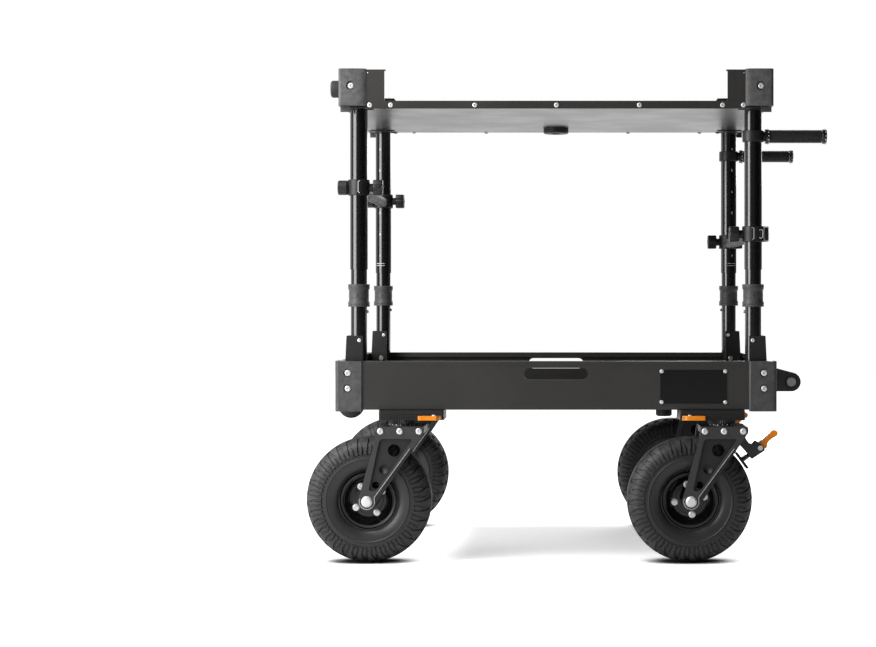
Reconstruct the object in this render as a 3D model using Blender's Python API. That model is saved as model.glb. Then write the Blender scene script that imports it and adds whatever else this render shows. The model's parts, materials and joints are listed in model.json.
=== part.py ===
# Workstation cart: a sheet-metal tray on four swivel casters, with a lift-off shelf on four folding legs.
# Metres, +Z up. +X is the push-handle end, -Y is the front. Places are worked out from the middle of the
# tray. The whole model is then moved along X, so that its origin is under the middle of its overall box.
import math

import bmesh
import bpy
from mathutils import Matrix, Vector

# Clearances
GAP = 0.0003
LEG_TOP_GAP = 0.0008
SADDLE_GAP = 0.0005
LEG_END_MARGIN = 0.0003

# Casters: wheel
TYRE_RADIUS = 0.135
TYRE_WIDTH = 0.086
TYRE_WALL = 0.007
TYRE_BULGE = 0.020
TYRE_SHOULDER = 0.0133
TREAD_WIDTH = 0.050
TREAD_WALL = 0.0084
RIM_RADIUS = 0.065
RIM_SEAT_RADIUS = 0.054
RIM_WIDTH = 0.066
RIM_WALL = 0.004
HUB_RADIUS = 0.018
HUB_LENGTH = 0.092
HUB_WEB = 0.016
AXLE_RADIUS = 0.00635
AXLE_HEAD_RADIUS = 0.012
AXLE_HEAD_HEIGHT = 0.005

# Casters: fork
CASTER_TRAIL = 0.070
TYRE_CLEARANCE = 0.010
YOKE_THICKNESS = 0.014
YOKE_LEFT = 0.049
YOKE_RIGHT = 0.052
YOKE_INSET = 0.001
FORK_OUTER_WIDTH = 0.116
FORK_PLATE = 0.008
FORK_BOSS_RADIUS = 0.019
FORK_SHOULDER_DROP = 0.028
FORK_SHOULDER_OUT = 0.004
FORK_CHIN_DROP = 0.019
FORK_CHIN_IN = 0.005
FORK_LIP_DROP = 0.011
FORK_POCKET_DEPTH = 0.0015
FORK_POCKET_MARGIN = 0.011
FORK_HOLES = ((0.26, 0.0073), (0.51, 0.0098), (0.81, 0.013))
TURNTABLE_RADIUS = 0.0285
TURNTABLE_HEIGHT = 0.0131

# Casters: brake
BRAKE_PIVOT_OUT = 0.030
BRAKE_PIVOT_DROP = 0.034
BRAKE_WIDTH = 0.028
BRAKE_SLOT = 0.012
BRAKE_PIN_RADIUS = 0.003
BRAKE_HUB_RADIUS = 0.007
BRAKE_LEVER_LENGTH = 0.0425
BRAKE_LEVER_ANGLE = 42
BRAKE_TIP_RADIUS = 0.007
BRAKE_ARM_ROOT = 0.024
BRAKE_ARM_DROP = 0.019
BRAKE_ARM_NOTCH = ((-0.024, 0.010), (-0.016, 0.0065), (-0.009, 0.014), (0.001, 0.010))
BRAKE_ARM_NOSE = (0.011, -0.005)
BRAKE_ARM_HEEL = (-0.0435, 0.006)
BRAKE_GUIDE_REACH = 0.029
BRAKE_GUIDE_WIDTH = 0.018
SHOE_REST_GAP = 0.003
SHOE_LENGTH = 0.040
SHOE_WIDTH = 0.044
SHOE_THICKNESS = 0.005
PLUNGER_RADIUS = 0.0045

# Caster rails and their release levers
RAIL_WIDTH = 0.089
RAIL_HEIGHT = 0.0203
RAIL_OVERHANG = 0.014
RAIL_POCKETS = 5
RAIL_POCKET_DEPTH = 0.008
RAIL_POCKET_WIDTH = 0.054
RAIL_POCKET_SPACING = 0.029
RAIL_POCKET_RADIUS = 0.009
MOUNT_OUTBOARD = 0.048
MOUNT_INBOARD = 0.092
MOUNT_DEPTH = 0.095
SWIVEL_INSET_LEFT = 0.1395
SWIVEL_INSET_RIGHT = 0.1145
SWIVEL_INSET_Y = 0.015
LEVER_LENGTH = 0.046
LEVER_HEIGHT = 0.0096
LEVER_THICKNESS = 0.0065
LEVER_DROP = 0.001
LEVER_CHAMFER = 0.0026
LEVER_KNUCKLE_RADIUS = 0.0052
LEVER_PIN_RADIUS = 0.0022
LEVER_END_WALL = 0.004

# Tray
TRAY_LENGTH = 0.945
TRAY_DEPTH = 0.604
TRAY_HEIGHT = 0.105
TRAY_SHEET = 0.003
TRAY_HEM = 0.0125
TRAY_HEM_LIP = 0.0125
TRAY_EDGE_RADIUS = 0.006
TRAY_INNER_RADIUS = 0.0036
HAND_SLOT_LENGTH = 0.137
HAND_SLOT_HEIGHT = 0.0254
HAND_SLOT_DROP = 0.028

# Tray corner protectors
PROTECTOR_WALL = 0.0032
PROTECTOR_REACH = 0.060
PROTECTOR_SLOPE = 0.008
PROTECTOR_RADIUS = 0.008

# Transport wheels and their wells, rubber feet
TRANSPORT_WHEEL_RADIUS = 0.029
TRANSPORT_WHEEL_WIDTH = 0.024
TRANSPORT_WHEEL_SHOULDER = 0.0035
TRANSPORT_WHEEL_TREAD = 0.011
TRANSPORT_WHEEL_INSET = 0.0145
TRANSPORT_WHEEL_DROP = 0.0275
TRANSPORT_WHEEL_INSET_Y = 0.144
TRANSPORT_AXLE_RADIUS = 0.004
WELL_CLEARANCE = 0.003
FOOT_INSET_X = 0.2325
FOOT_INSET_Y = 0.122
FOOT_RADIUS = 0.018
FOOT_HEIGHT = 0.021
FOOT_BEVEL = 0.003

# Carry handle
EAR_INSET_Y = 0.092
EAR_THICKNESS = 0.010
EAR_REACH = 0.0465
EAR_RADIUS = 0.021
EAR_AXIS_HEIGHT = 0.056
EAR_TOP_HEIGHT = 0.090
EAR_FOOT_WIDTH = 0.036
EAR_FOOT_THICKNESS = 0.004
EAR_FOOT_MARGIN = 0.003
CARRY_BAR_RADIUS = 0.014
CARRY_BAR_BORE = 0.0108

# Leg brackets
BRACKET_HEIGHT = 0.156
BRACKET_SHEET = 0.003
BRACKET_TOP_OUT = 0.0248
BRACKET_BOTTOM_OUT = 0.0320
BRACKET_TOP_IN = 0.0105
BRACKET_BOTTOM_IN = 0.022
BRACKET_FOOT_HEIGHT = 0.004
BRACKET_FOOT_LENGTH = 0.074
BRACKET_FOOT_DEPTH = 0.060

# Legs
LEG_INSET_X = 0.0435
LEG_INSET_Y = 0.039
LOWER_TUBE_RADIUS = 0.01745
SLEEVE_RADIUS = 0.01905
TUBE_BORE_RADIUS = 0.0150
LEG_PIVOT_HEIGHT = 0.092
LEG_PIVOT_OFFSET = 0.003
LEG_PIN_RADIUS = 0.004
LEG_PIN_HEAD_RADIUS = 0.006
LEG_PIN_HEAD_HEIGHT = 0.0025
SLEEVE_START = 0.211
LEG_LENGTH = 0.5627

# Leg collars
COLLAR_START = 0.130
COLLAR_HEIGHT = 0.049
COLLAR_RADIUS = 0.0216
COLLAR_LIP_RADIUS = 0.0235
COLLAR_LIP_HEIGHT = 0.009
COLLAR_LIP_SLOPE = 0.0036

# Crossbars and their knobs
CROSSBAR_DROPS = {"left": 0.1737, "right": 0.2747}
CROSSBAR_RADIUS = 0.0127
CROSSBAR_OFFSET = 0.004
CLAMP_WALL = 0.0047
CLAMP_HEIGHT = 0.034
CLAMP_BOSS_RADIUS = 0.009
CLAMP_BOSS_REACH = 0.0305
CLAMP_END_REACH = 0.045
CLAMP_END_RADIUS = 0.016
CLAMP_BLOCK_REACH = 0.033
CLAMP_BLOCK_WIDTH = 0.0272
CLAMP_ROOT = 0.0003
STUD_RADIUS = 0.004
STUD_LENGTH = 0.010
KNOB_RADIUS = 0.0185
KNOB_WIDTH = 0.0235
KNOB_LOBES = 6
KNOB_LOBE_DEPTH = 0.0022

# Push handles
HANDLE_DROP = 0.0622
HANDLE_CLAMP_WALL = 0.0042
HANDLE_CLAMP_HEIGHT = 0.024
HANDLE_ROOT = 0.0008
HANDLE_BAR_RADIUS = 0.0105
GRIP_RADIUS = 0.0145
GRIP_START = 0.026
GRIP_LENGTH = 0.133
LOCK_RING_RADIUS = 0.0165
LOCK_RING_WIDTH = 0.009

# Shelf
DECK_INSET_X = 0.0095
DECK_INSET_Y = 0.003
DECK_SHEET = 0.003
RIM_DROP = 0.006
RIM_RISE = 0.008
END_WALL_HEIGHT = 0.0755
END_WALL_SHEET = 0.0025
END_WALL_RETURN = 0.093
END_WALL_LIP = 0.010
END_WALL_LIP_OVER = 0.0025
SADDLE_WALL = 0.0022
SADDLE_HEIGHT = 0.007
SADDLE_PLATE_REACH = 0.030
SADDLE_PLATE_HALF = 0.025
SADDLE_PLATE_SHEET = 0.0025
BLOCK_LENGTH = 0.060
BLOCK_DEPTH = 0.060
BLOCK_HEIGHT = 0.080
BLOCK_PROUD = 0.006
BLOCK_FACE_SLOPE = 0.011
BLOCK_CORNER = 0.005
BUMPER_RADIUS = 0.0185
BUMPER_HEIGHT = 0.0185
BUMPER_DROP = 0.0415
BUMPER_BEVEL = 0.003
PUCK_RADIUS = 0.0305
PUCK_HEIGHT = 0.013
PUCK_BEVEL = 0.0022
PUCK_INSET_Y = 0.109

# Sides of round pieces
WHEEL_SIDES = 20
RING_SIDES = 20
TUBE_SIDES = 12
SMALL_SIDES = 10

# Heights, from the floor up
AXLE_Z = TYRE_RADIUS
YOKE_BOTTOM_Z = AXLE_Z + TYRE_RADIUS + TYRE_CLEARANCE
YOKE_TOP_Z = YOKE_BOTTOM_Z + YOKE_THICKNESS
TURNTABLE_TOP_Z = YOKE_TOP_Z + TURNTABLE_HEIGHT
RAIL_BOTTOM_Z = TURNTABLE_TOP_Z + GAP
RAIL_TOP_Z = RAIL_BOTTOM_Z + RAIL_HEIGHT
TRAY_BOTTOM_Z = RAIL_TOP_Z + GAP
TRAY_FLOOR_Z = TRAY_BOTTOM_Z + TRAY_SHEET
TRAY_TOP_Z = TRAY_BOTTOM_Z + TRAY_HEIGHT
BRACKET_BASE_Z = TRAY_FLOOR_Z + GAP
BRACKET_TOP_Z = BRACKET_BASE_Z + BRACKET_HEIGHT
LEG_PIVOT_Z = TRAY_BOTTOM_Z + LEG_PIVOT_HEIGHT
LEG_TOP_Z = LEG_PIVOT_Z + LEG_LENGTH
DECK_BOTTOM_Z = LEG_TOP_Z + LEG_TOP_GAP
DECK_TOP_Z = DECK_BOTTOM_Z + DECK_SHEET
END_WALL_TOP_Z = DECK_TOP_Z + END_WALL_HEIGHT
BLOCK_TOP_Z = DECK_BOTTOM_Z + BLOCK_HEIGHT

# Places in plan, from the middle of the tray
TRAY_END_X = TRAY_LENGTH / 2
TRAY_FRONT_Y = TRAY_DEPTH / 2
RAIL_END_Y = TRAY_FRONT_Y + RAIL_OVERHANG
LEG_X = TRAY_END_X - LEG_INSET_X
LEG_Y = TRAY_FRONT_Y - LEG_INSET_Y
SWIVEL_X = {"left": -TRAY_END_X + SWIVEL_INSET_LEFT, "right": TRAY_END_X - SWIVEL_INSET_RIGHT}
SWIVEL_Y = TRAY_FRONT_Y - SWIVEL_INSET_Y
DECK_END_X = TRAY_END_X - DECK_INSET_X
DECK_FRONT_Y = TRAY_FRONT_Y - DECK_INSET_Y
BLOCK_END_X = DECK_END_X + BLOCK_PROUD
BLOCK_FRONT_Y = DECK_FRONT_Y + BLOCK_PROUD
TYRE_END_X = SWIVEL_X["left"] - CASTER_TRAIL - TYRE_RADIUS
HANDLE_END_X = LEG_X + GRIP_START + GRIP_LENGTH
CENTRE_X = (HANDLE_END_X + TYRE_END_X) / 2

# Fits
LEG_END_RADIUS = LOWER_TUBE_RADIUS + LEG_PIVOT_OFFSET + LEG_END_MARGIN
BRACKET_INNER_HALF = LOWER_TUBE_RADIUS + GAP
BRACKET_HALF = BRACKET_INNER_HALF + BRACKET_SHEET
SLEEVE_BORE_RADIUS = SLEEVE_RADIUS + GAP

SIDES = {"left": -1, "right": 1}
ROWS = {"front": -1, "back": 1}

PAINTS = {}
BODIES = {}


# Scene, materials and objects
def clear_scene():
    for old in list(bpy.data.objects):
        bpy.data.objects.remove(old, do_unlink=True)


def make_paint(name, colour, roughness, metallic=0.0):
    paint = bpy.data.materials.new(name)
    paint.use_nodes = True
    shader = paint.node_tree.nodes["Principled BSDF"]
    shader.inputs["Base Color"].default_value = (*colour, 1.0)
    shader.inputs["Roughness"].default_value = roughness
    shader.inputs["Metallic"].default_value = metallic
    PAINTS[name] = paint


def make_paints():
    make_paint("tray_powder_coat", (0.048, 0.047, 0.045), 0.5)
    make_paint("moulded_grey", (0.115, 0.112, 0.108), 0.6)
    make_paint("anodised_black", (0.012, 0.012, 0.013), 0.22, 0.6)
    make_paint("collar_grey", (0.095, 0.095, 0.097), 0.45)
    make_paint("bracket_black", (0.022, 0.022, 0.022), 0.4, 0.3)
    make_paint("rail_black", (0.02, 0.02, 0.02), 0.35, 0.5)
    make_paint("fork_black", (0.035, 0.034, 0.033), 0.45, 0.3)
    make_paint("rim_gloss_black", (0.01, 0.01, 0.01), 0.12)
    make_paint("tyre_rubber", (0.045, 0.045, 0.045), 0.8)
    make_paint("black_rubber", (0.02, 0.02, 0.02), 0.75)
    make_paint("black_plastic", (0.018, 0.018, 0.018), 0.5)
    make_paint("orange_anodised", (0.84, 0.24, 0.012), 0.35, 0.4)


def make_body(name, at, parent=None):
    """An empty on a joint's axis. Everything that moves with the joint hangs from it."""
    empty = bpy.data.objects.new(name + "_axis", None)
    bpy.context.scene.collection.objects.link(empty)
    if parent:
        empty.parent, origin = BODIES[parent]
    else:
        origin = Vector((CENTRE_X, 0, 0))
    empty.location = Vector(at) - origin
    BODIES[name] = (empty, Vector(at))


def add_object(name, mesh, body, at, turn):
    """Turns a bmesh, modelled about its own origin, into an object at a point of the cart."""
    bmesh.ops.recalc_face_normals(mesh, faces=mesh.faces)
    data = bpy.data.meshes.new(name)
    mesh.to_mesh(data)
    mesh.free()
    data.shade_smooth()
    data.set_sharp_from_angle(angle=math.radians(35))
    added = bpy.data.objects.new(name, data)
    bpy.context.scene.collection.objects.link(added)
    added.parent, origin = BODIES[body]
    added.location = Vector(at) - origin
    if turn is not None:
        added.rotation_euler = turn.to_euler()
    return added


def add_part(name, mesh, paint, body, at, turn=None):
    part = add_object(name, mesh, body, at, turn)
    part.data.materials.append(PAINTS[paint])
    return part


def add_boolean(part, mesh, operation, at, turn):
    """Adds a live Boolean to a part. Its other shape is placed as a part is."""
    name = f"{part.name}_shape_{len(part.modifiers) + 1}"
    body = part.parent.name.removesuffix("_axis")
    shape = add_object(name, mesh, body, at, turn)
    shape.hide_render = True
    shape.display_type = "WIRE"
    step = part.modifiers.new(name, "BOOLEAN")
    step.operation = operation
    step.object = shape


def cut(part, mesh, at, turn=None):
    add_boolean(part, mesh, "DIFFERENCE", at, turn)


def fuse(part, mesh, at, turn=None):
    add_boolean(part, mesh, "UNION", at, turn)


# Shapes
def extruded(outline, start, end, along="Z"):
    """A closed outline pulled from start to end. The outline's two numbers are the other two axes in order."""
    third = "XYZ".index(along)
    mesh = bmesh.new()
    corners = []
    for point in outline:
        place = list(point)
        place.insert(third, start)
        corners.append(mesh.verts.new(place))
    face = mesh.faces.new(corners)
    pulled = bmesh.ops.extrude_face_region(mesh, geom=[face])
    for corner in pulled["geom"]:
        if isinstance(corner, bmesh.types.BMVert):
            corner.co[third] = end
    return mesh


def block(x_range, y_range, z_range):
    """A box between two values on each axis, in either order."""
    x0, x1 = x_range
    y0, y1 = y_range
    return extruded([(x0, y0), (x1, y0), (x1, y1), (x0, y1)], *z_range)


def turned(profile, sides, along="Z", offset=0.0):
    """A profile of (radius, height) points turned about an axis. It closes on the axis or on itself.

    offset turns the result about its axis, as a share of one side.
    """
    angle = offset * 2 * math.pi / sides
    c, s = math.cos(angle), math.sin(angle)
    place, axis = {
        "X": (lambda radius, height: (height, radius * c, radius * s), (1, 0, 0)),
        "Y": (lambda radius, height: (radius * c, height, radius * s), (0, 1, 0)),
        "Z": (lambda radius, height: (radius * c, radius * s, height), (0, 0, 1)),
    }[along]
    mesh = bmesh.new()
    points = [mesh.verts.new(place(radius, height)) for radius, height in profile]
    lines = [mesh.edges.new(pair) for pair in zip(points, points[1:])]
    if profile[0][0] > 0:
        lines.append(mesh.edges.new((points[-1], points[0])))
    bmesh.ops.spin(
        mesh,
        geom=points + lines,
        cent=(0, 0, 0),
        axis=axis,
        angle=2 * math.pi,
        steps=sides,
        use_merge=True,
    )
    bmesh.ops.remove_doubles(mesh, verts=mesh.verts, dist=1e-6)
    return mesh


def rod(radius, start, end, sides, along="Z"):
    """A plain round bar. A bar that lies flat has a flat side on top, not an edge."""
    offset = 0.0 if along == "Z" else 0.5
    return turned([(0, start), (radius, start), (radius, end), (0, end)], sides, along, offset)


def ring(inner, outer, start, end, sides, along="Z"):
    profile = [(inner, start), (outer, start), (outer, end), (inner, end)]
    return turned(profile, sides, along)


def mirrored(half_profile):
    """A profile given from one end to its middle, completed by its mirror image."""
    return half_profile + [(radius, -height) for radius, height in reversed(half_profile)]


def arc(centre, radius, start, end, steps):
    """Points from one angle to another, in degrees, both ends counted."""
    angles = [math.radians(start + (end - start) * i / steps) for i in range(steps + 1)]
    return [(centre[0] + radius * math.cos(a), centre[1] + radius * math.sin(a)) for a in angles]


def rounded_box(half_length, half_width, radius, steps=2):
    """The outline of a rectangle with round corners, about its middle."""
    x, y = half_length - radius, half_width - radius
    return (
        arc((x, y), radius, 0, 90, steps)
        + arc((-x, y), radius, 90, 180, steps)
        + arc((-x, -y), radius, 180, 270, steps)
        + arc((x, -y), radius, 270, 360, steps)
    )


def tangent_angle(point, centre, radius, hand):
    """Where a line from a point touches a circle, in degrees. hand is 1 for its one side and -1 for the other."""
    dx, dy = point[0] - centre[0], point[1] - centre[1]
    return math.degrees(math.atan2(dy, dx) + hand * math.acos(radius / math.hypot(dx, dy)))


def on_side(side, outline):
    """An outline drawn for the right or the back, flipped for the left or the front."""
    return [(side * x, y) for x, y in outline]


# The tray
def make_tray():
    outline = rounded_box(TRAY_END_X, TRAY_FRONT_Y, TRAY_EDGE_RADIUS)
    tray = add_part("tray", extruded(outline, TRAY_BOTTOM_Z, TRAY_TOP_Z), "tray_powder_coat", "tray", (0, 0, 0))

    inside = rounded_box(TRAY_END_X - TRAY_SHEET, TRAY_FRONT_Y - TRAY_SHEET, TRAY_INNER_RADIUS, 1)
    cut(tray, extruded(inside, TRAY_FLOOR_Z, TRAY_TOP_Z - TRAY_SHEET), (0, 0, 0))

    lip_z = TRAY_TOP_Z - TRAY_HEM_LIP
    lip_inset = TRAY_HEM - TRAY_SHEET
    lip = rounded_box(TRAY_END_X - lip_inset, TRAY_FRONT_Y - lip_inset, TRAY_INNER_RADIUS, 1)
    fuse(tray, extruded(lip, lip_z, TRAY_TOP_Z - TRAY_SHEET / 2), (0, 0, 0))
    mouth = rounded_box(TRAY_END_X - TRAY_HEM, TRAY_FRONT_Y - TRAY_HEM, TRAY_SHEET, 1)
    cut(tray, extruded(mouth, lip_z - TRAY_SHEET, TRAY_TOP_Z + TRAY_SHEET), (0, 0, 0))

    slot = rounded_box(HAND_SLOT_LENGTH / 2, HAND_SLOT_HEIGHT / 2, HAND_SLOT_HEIGHT / 2 - GAP, 4)
    reach = TRAY_FRONT_Y + TRAY_SHEET
    cut(tray, extruded(slot, -reach, reach, "Y"), (0, 0, TRAY_TOP_Z - HAND_SLOT_DROP))

    for row_name, row in ROWS.items():
        make_wheel_well(tray, row_name, row)


def make_wheel_well(tray, row_name, row):
    """A hood in the tray over each transport wheel, open below and at the end, with the wheel in it."""
    x = -TRAY_END_X + TRANSPORT_WHEEL_RADIUS - TRANSPORT_WHEEL_INSET
    y = row * (TRAY_FRONT_Y - TRANSPORT_WHEEL_INSET_Y)
    z = TRAY_BOTTOM_Z + TRANSPORT_WHEEL_RADIUS - TRANSPORT_WHEEL_DROP
    reach = TRANSPORT_WHEEL_RADIUS + WELL_CLEARANCE
    half = TRANSPORT_WHEEL_WIDTH / 2 + WELL_CLEARANCE
    outer = half + TRAY_SHEET
    hood = block(
        (-TRAY_END_X + TRAY_SHEET / 2, x + reach + TRAY_SHEET),
        (y - outer, y + outer),
        (TRAY_BOTTOM_Z + TRAY_SHEET / 2, z + reach + TRAY_SHEET),
    )
    fuse(tray, hood, (0, 0, 0))
    well = block(
        (-TRAY_END_X - TRAY_SHEET, x + reach),
        (y - half, y + half),
        (TRAY_BOTTOM_Z - TRAY_SHEET, z + reach),
    )
    cut(tray, well, (0, 0, 0))
    hole = outer + TRAY_SHEET
    cut(tray, rod(TRANSPORT_AXLE_RADIUS + GAP, -hole, hole, SMALL_SIDES, "Y"), (x, y, z))

    rim_half = TRANSPORT_WHEEL_WIDTH / 2
    half_profile = [
        (0, -outer),
        (TRANSPORT_AXLE_RADIUS, -outer),
        (TRANSPORT_AXLE_RADIUS, -rim_half),
        (TRANSPORT_WHEEL_RADIUS - TRANSPORT_WHEEL_SHOULDER, -rim_half),
        (TRANSPORT_WHEEL_RADIUS, -TRANSPORT_WHEEL_TREAD / 2),
    ]
    body = f"{row_name}_transport_wheel"
    make_body(body, (x, y, z), "tray")
    wheel = turned(mirrored(half_profile), TUBE_SIDES, "Y", 0.5)
    add_part(f"transport_wheel_{row_name}", wheel, "black_rubber", body, (x, y, z))


def make_protectors():
    """Moulded guards round the tray's corners, with a three-cornered flap under the floor."""
    x0, y0 = TRAY_END_X + GAP, TRAY_FRONT_Y + GAP
    x1, y1 = x0 + PROTECTOR_WALL, y0 + PROTECTOR_WALL
    x_end, y_end = x1 - PROTECTOR_REACH, y1 - PROTECTOR_REACH
    low = RAIL_TOP_Z - PROTECTOR_WALL
    outer = arc((x1 - PROTECTOR_RADIUS, y1 - PROTECTOR_RADIUS), PROTECTOR_RADIUS, 0, 90, 3)
    inner_radius = min(PROTECTOR_RADIUS - PROTECTOR_WALL, TRAY_EDGE_RADIUS)
    inner = arc((x0 - inner_radius, y0 - inner_radius), inner_radius, 90, 0, 2)
    wall = [(x1, y_end + PROTECTOR_WALL)] + outer + [(x_end + PROTECTOR_WALL, y1), (x_end, y0)]
    wall += inner + [(x0, y_end)]
    edge = PROTECTOR_WALL + PROTECTOR_SLOPE
    flap = [(x1, y_end + edge)] + outer + [(x_end + edge, y1)]
    for side_name, side in SIDES.items():
        for row_name, row in ROWS.items():
            guard = add_part(
                f"tray_corner_{side_name}_{row_name}",
                extruded([(side * x, row * y) for x, y in wall], low, TRAY_TOP_Z),
                "moulded_grey",
                "tray",
                (0, 0, 0),
            )
            fuse(guard, extruded([(side * x, row * y) for x, y in flap], low, RAIL_TOP_Z), (0, 0, 0))


# Caster rails
def make_rails():
    """Black aluminium rails under the tray. Each end widens into the mount that a caster locks to."""
    step_y = RAIL_END_Y - MOUNT_DEPTH
    for side_name, side in SIDES.items():
        swivel = side * SWIVEL_X[side_name]
        outboard = swivel + MOUNT_OUTBOARD
        inboard = swivel - MOUNT_INBOARD
        narrow = outboard - RAIL_WIDTH
        half = [(outboard, RAIL_END_Y), (inboard, RAIL_END_Y), (inboard, step_y), (narrow, step_y)]
        outline = half + [(x, -y) for x, y in reversed(half)]
        rail = add_part(
            f"caster_rail_{side_name}",
            extruded(on_side(side, outline), RAIL_BOTTOM_Z, RAIL_TOP_Z),
            "rail_black",
            "tray",
            (0, 0, 0),
        )
        cut_rail_pockets(rail, side * (outboard - RAIL_WIDTH / 2), step_y)
        for row_name, row in ROWS.items():
            cut_lever_seat(rail, lever_pivot(side_name, side, row), row)
            make_release_lever(f"{side_name}_{row_name}", lever_pivot(side_name, side, row), side, row)


def cut_rail_pockets(rail, middle_x, reach):
    """Windows milled into the rail's underside, in a row along it."""
    pitch = 2 * reach / RAIL_POCKETS
    window = rounded_box(RAIL_POCKET_WIDTH / 2, (pitch - RAIL_POCKET_SPACING) / 2, RAIL_POCKET_RADIUS, 1)
    for i in range(RAIL_POCKETS):
        y = -reach + pitch * (i + 0.5)
        pocket = extruded(window, -RAIL_POCKET_DEPTH, RAIL_POCKET_DEPTH)
        cut(rail, pocket, (middle_x, y, RAIL_BOTTOM_Z))


def lever_pivot(side_name, side, row):
    x = SWIVEL_X[side_name] - side * (MOUNT_INBOARD - LEVER_KNUCKLE_RADIUS - LEVER_END_WALL)
    y = row * (RAIL_END_Y - LEVER_KNUCKLE_RADIUS)
    return x, y, RAIL_BOTTOM_Z + LEVER_HEIGHT / 2 - LEVER_DROP


def cut_lever_seat(rail, pivot, row):
    """A notch in the rail's end for the lever's knuckle, with its pin."""
    half = LEVER_KNUCKLE_RADIUS + GAP
    roof = LEVER_HEIGHT / 2 + GAP
    notch = block((-half, half), (-row * half, row * 2 * half), (-LEVER_HEIGHT, roof))
    cut(rail, notch, pivot)
    pin = rod(LEVER_PIN_RADIUS, -LEVER_HEIGHT / 2, roof + LEVER_PIN_RADIUS, SMALL_SIDES)
    fuse(rail, pin, pivot)


def make_release_lever(name, pivot, side, row):
    """A knuckle round the pin, and an arm that lies along the rail's end face and points outboard."""
    body = f"{name}_release"
    make_body(body, pivot, "tray")
    inner = LEVER_KNUCKLE_RADIUS + GAP
    outer = inner + LEVER_THICKNESS
    outline = arc((0, 0), LEVER_KNUCKLE_RADIUS, 90, 360, 6)
    outline += [
        (LEVER_KNUCKLE_RADIUS, inner),
        (LEVER_LENGTH, inner),
        (LEVER_LENGTH, outer - LEVER_CHAMFER),
        (LEVER_LENGTH - LEVER_CHAMFER, outer),
        (LEVER_KNUCKLE_RADIUS, outer),
        (LEVER_KNUCKLE_RADIUS - LEVER_CHAMFER, inner),
    ]
    half = LEVER_HEIGHT / 2
    mesh = extruded([(side * x, row * y) for x, y in outline], -half, half)
    lever = add_part(f"release_lever_{name}", mesh, "orange_anodised", body, pivot)
    cut(lever, rod(LEVER_PIN_RADIUS + GAP, -LEVER_HEIGHT, LEVER_HEIGHT, SMALL_SIDES), pivot)


# Handles, feet and leg brackets on the tray
def make_carry_handle():
    """Two ears on the right end, with a tube between them."""
    foot_x = TRAY_END_X + GAP
    root_x = foot_x + EAR_FOOT_THICKNESS / 2
    ear_y = TRAY_FRONT_Y - EAR_INSET_Y
    axis_x, axis_z = TRAY_END_X + EAR_REACH, TRAY_BOTTOM_Z + EAR_AXIS_HEIGHT
    top_z = TRAY_BOTTOM_Z + EAR_TOP_HEIGHT
    low_z = axis_z - EAR_RADIUS
    centre = (axis_x, axis_z)
    touch = tangent_angle((root_x, top_z), centre, EAR_RADIUS, -1)
    outline = [(root_x, top_z), (root_x, low_z)] + arc(centre, EAR_RADIUS, -90, touch, 7)
    inner, outer = ear_y - EAR_THICKNESS / 2, ear_y + EAR_THICKNESS / 2
    handle = add_part("carry_handle", extruded(outline, -outer, -inner, "Y"), "anodised_black", "tray", (0, 0, 0))
    fuse(handle, extruded(outline, inner, outer, "Y"), (0, 0, 0))
    for row in ROWS.values():
        foot = block(
            (foot_x, foot_x + EAR_FOOT_THICKNESS),
            (row * (outer + EAR_FOOT_MARGIN), row * (outer - EAR_FOOT_WIDTH)),
            (low_z - EAR_FOOT_MARGIN, top_z + EAR_FOOT_MARGIN),
        )
        fuse(handle, foot, (0, 0, 0))
    end = outer + EAR_FOOT_MARGIN
    at = (axis_x, 0, axis_z)
    middle = (CARRY_BAR_RADIUS + CARRY_BAR_BORE) / 2
    cut(handle, rod(middle, -2 * end, 2 * end, TUBE_SIDES, "Y"), at)
    fuse(handle, ring(CARRY_BAR_BORE, CARRY_BAR_RADIUS, -end, end, TUBE_SIDES, "Y"), at)


def make_feet():
    profile = [
        (0, -FOOT_HEIGHT),
        (FOOT_RADIUS - FOOT_BEVEL, -FOOT_HEIGHT),
        (FOOT_RADIUS, FOOT_BEVEL - FOOT_HEIGHT),
        (FOOT_RADIUS, 0),
        (0, 0),
    ]
    for row_name, row in ROWS.items():
        at = (TRAY_END_X - FOOT_INSET_X, row * (TRAY_FRONT_Y - FOOT_INSET_Y), TRAY_BOTTOM_Z - GAP)
        add_part(f"rubber_foot_{row_name}", turned(profile, TUBE_SIDES), "black_rubber", "tray", at)


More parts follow.
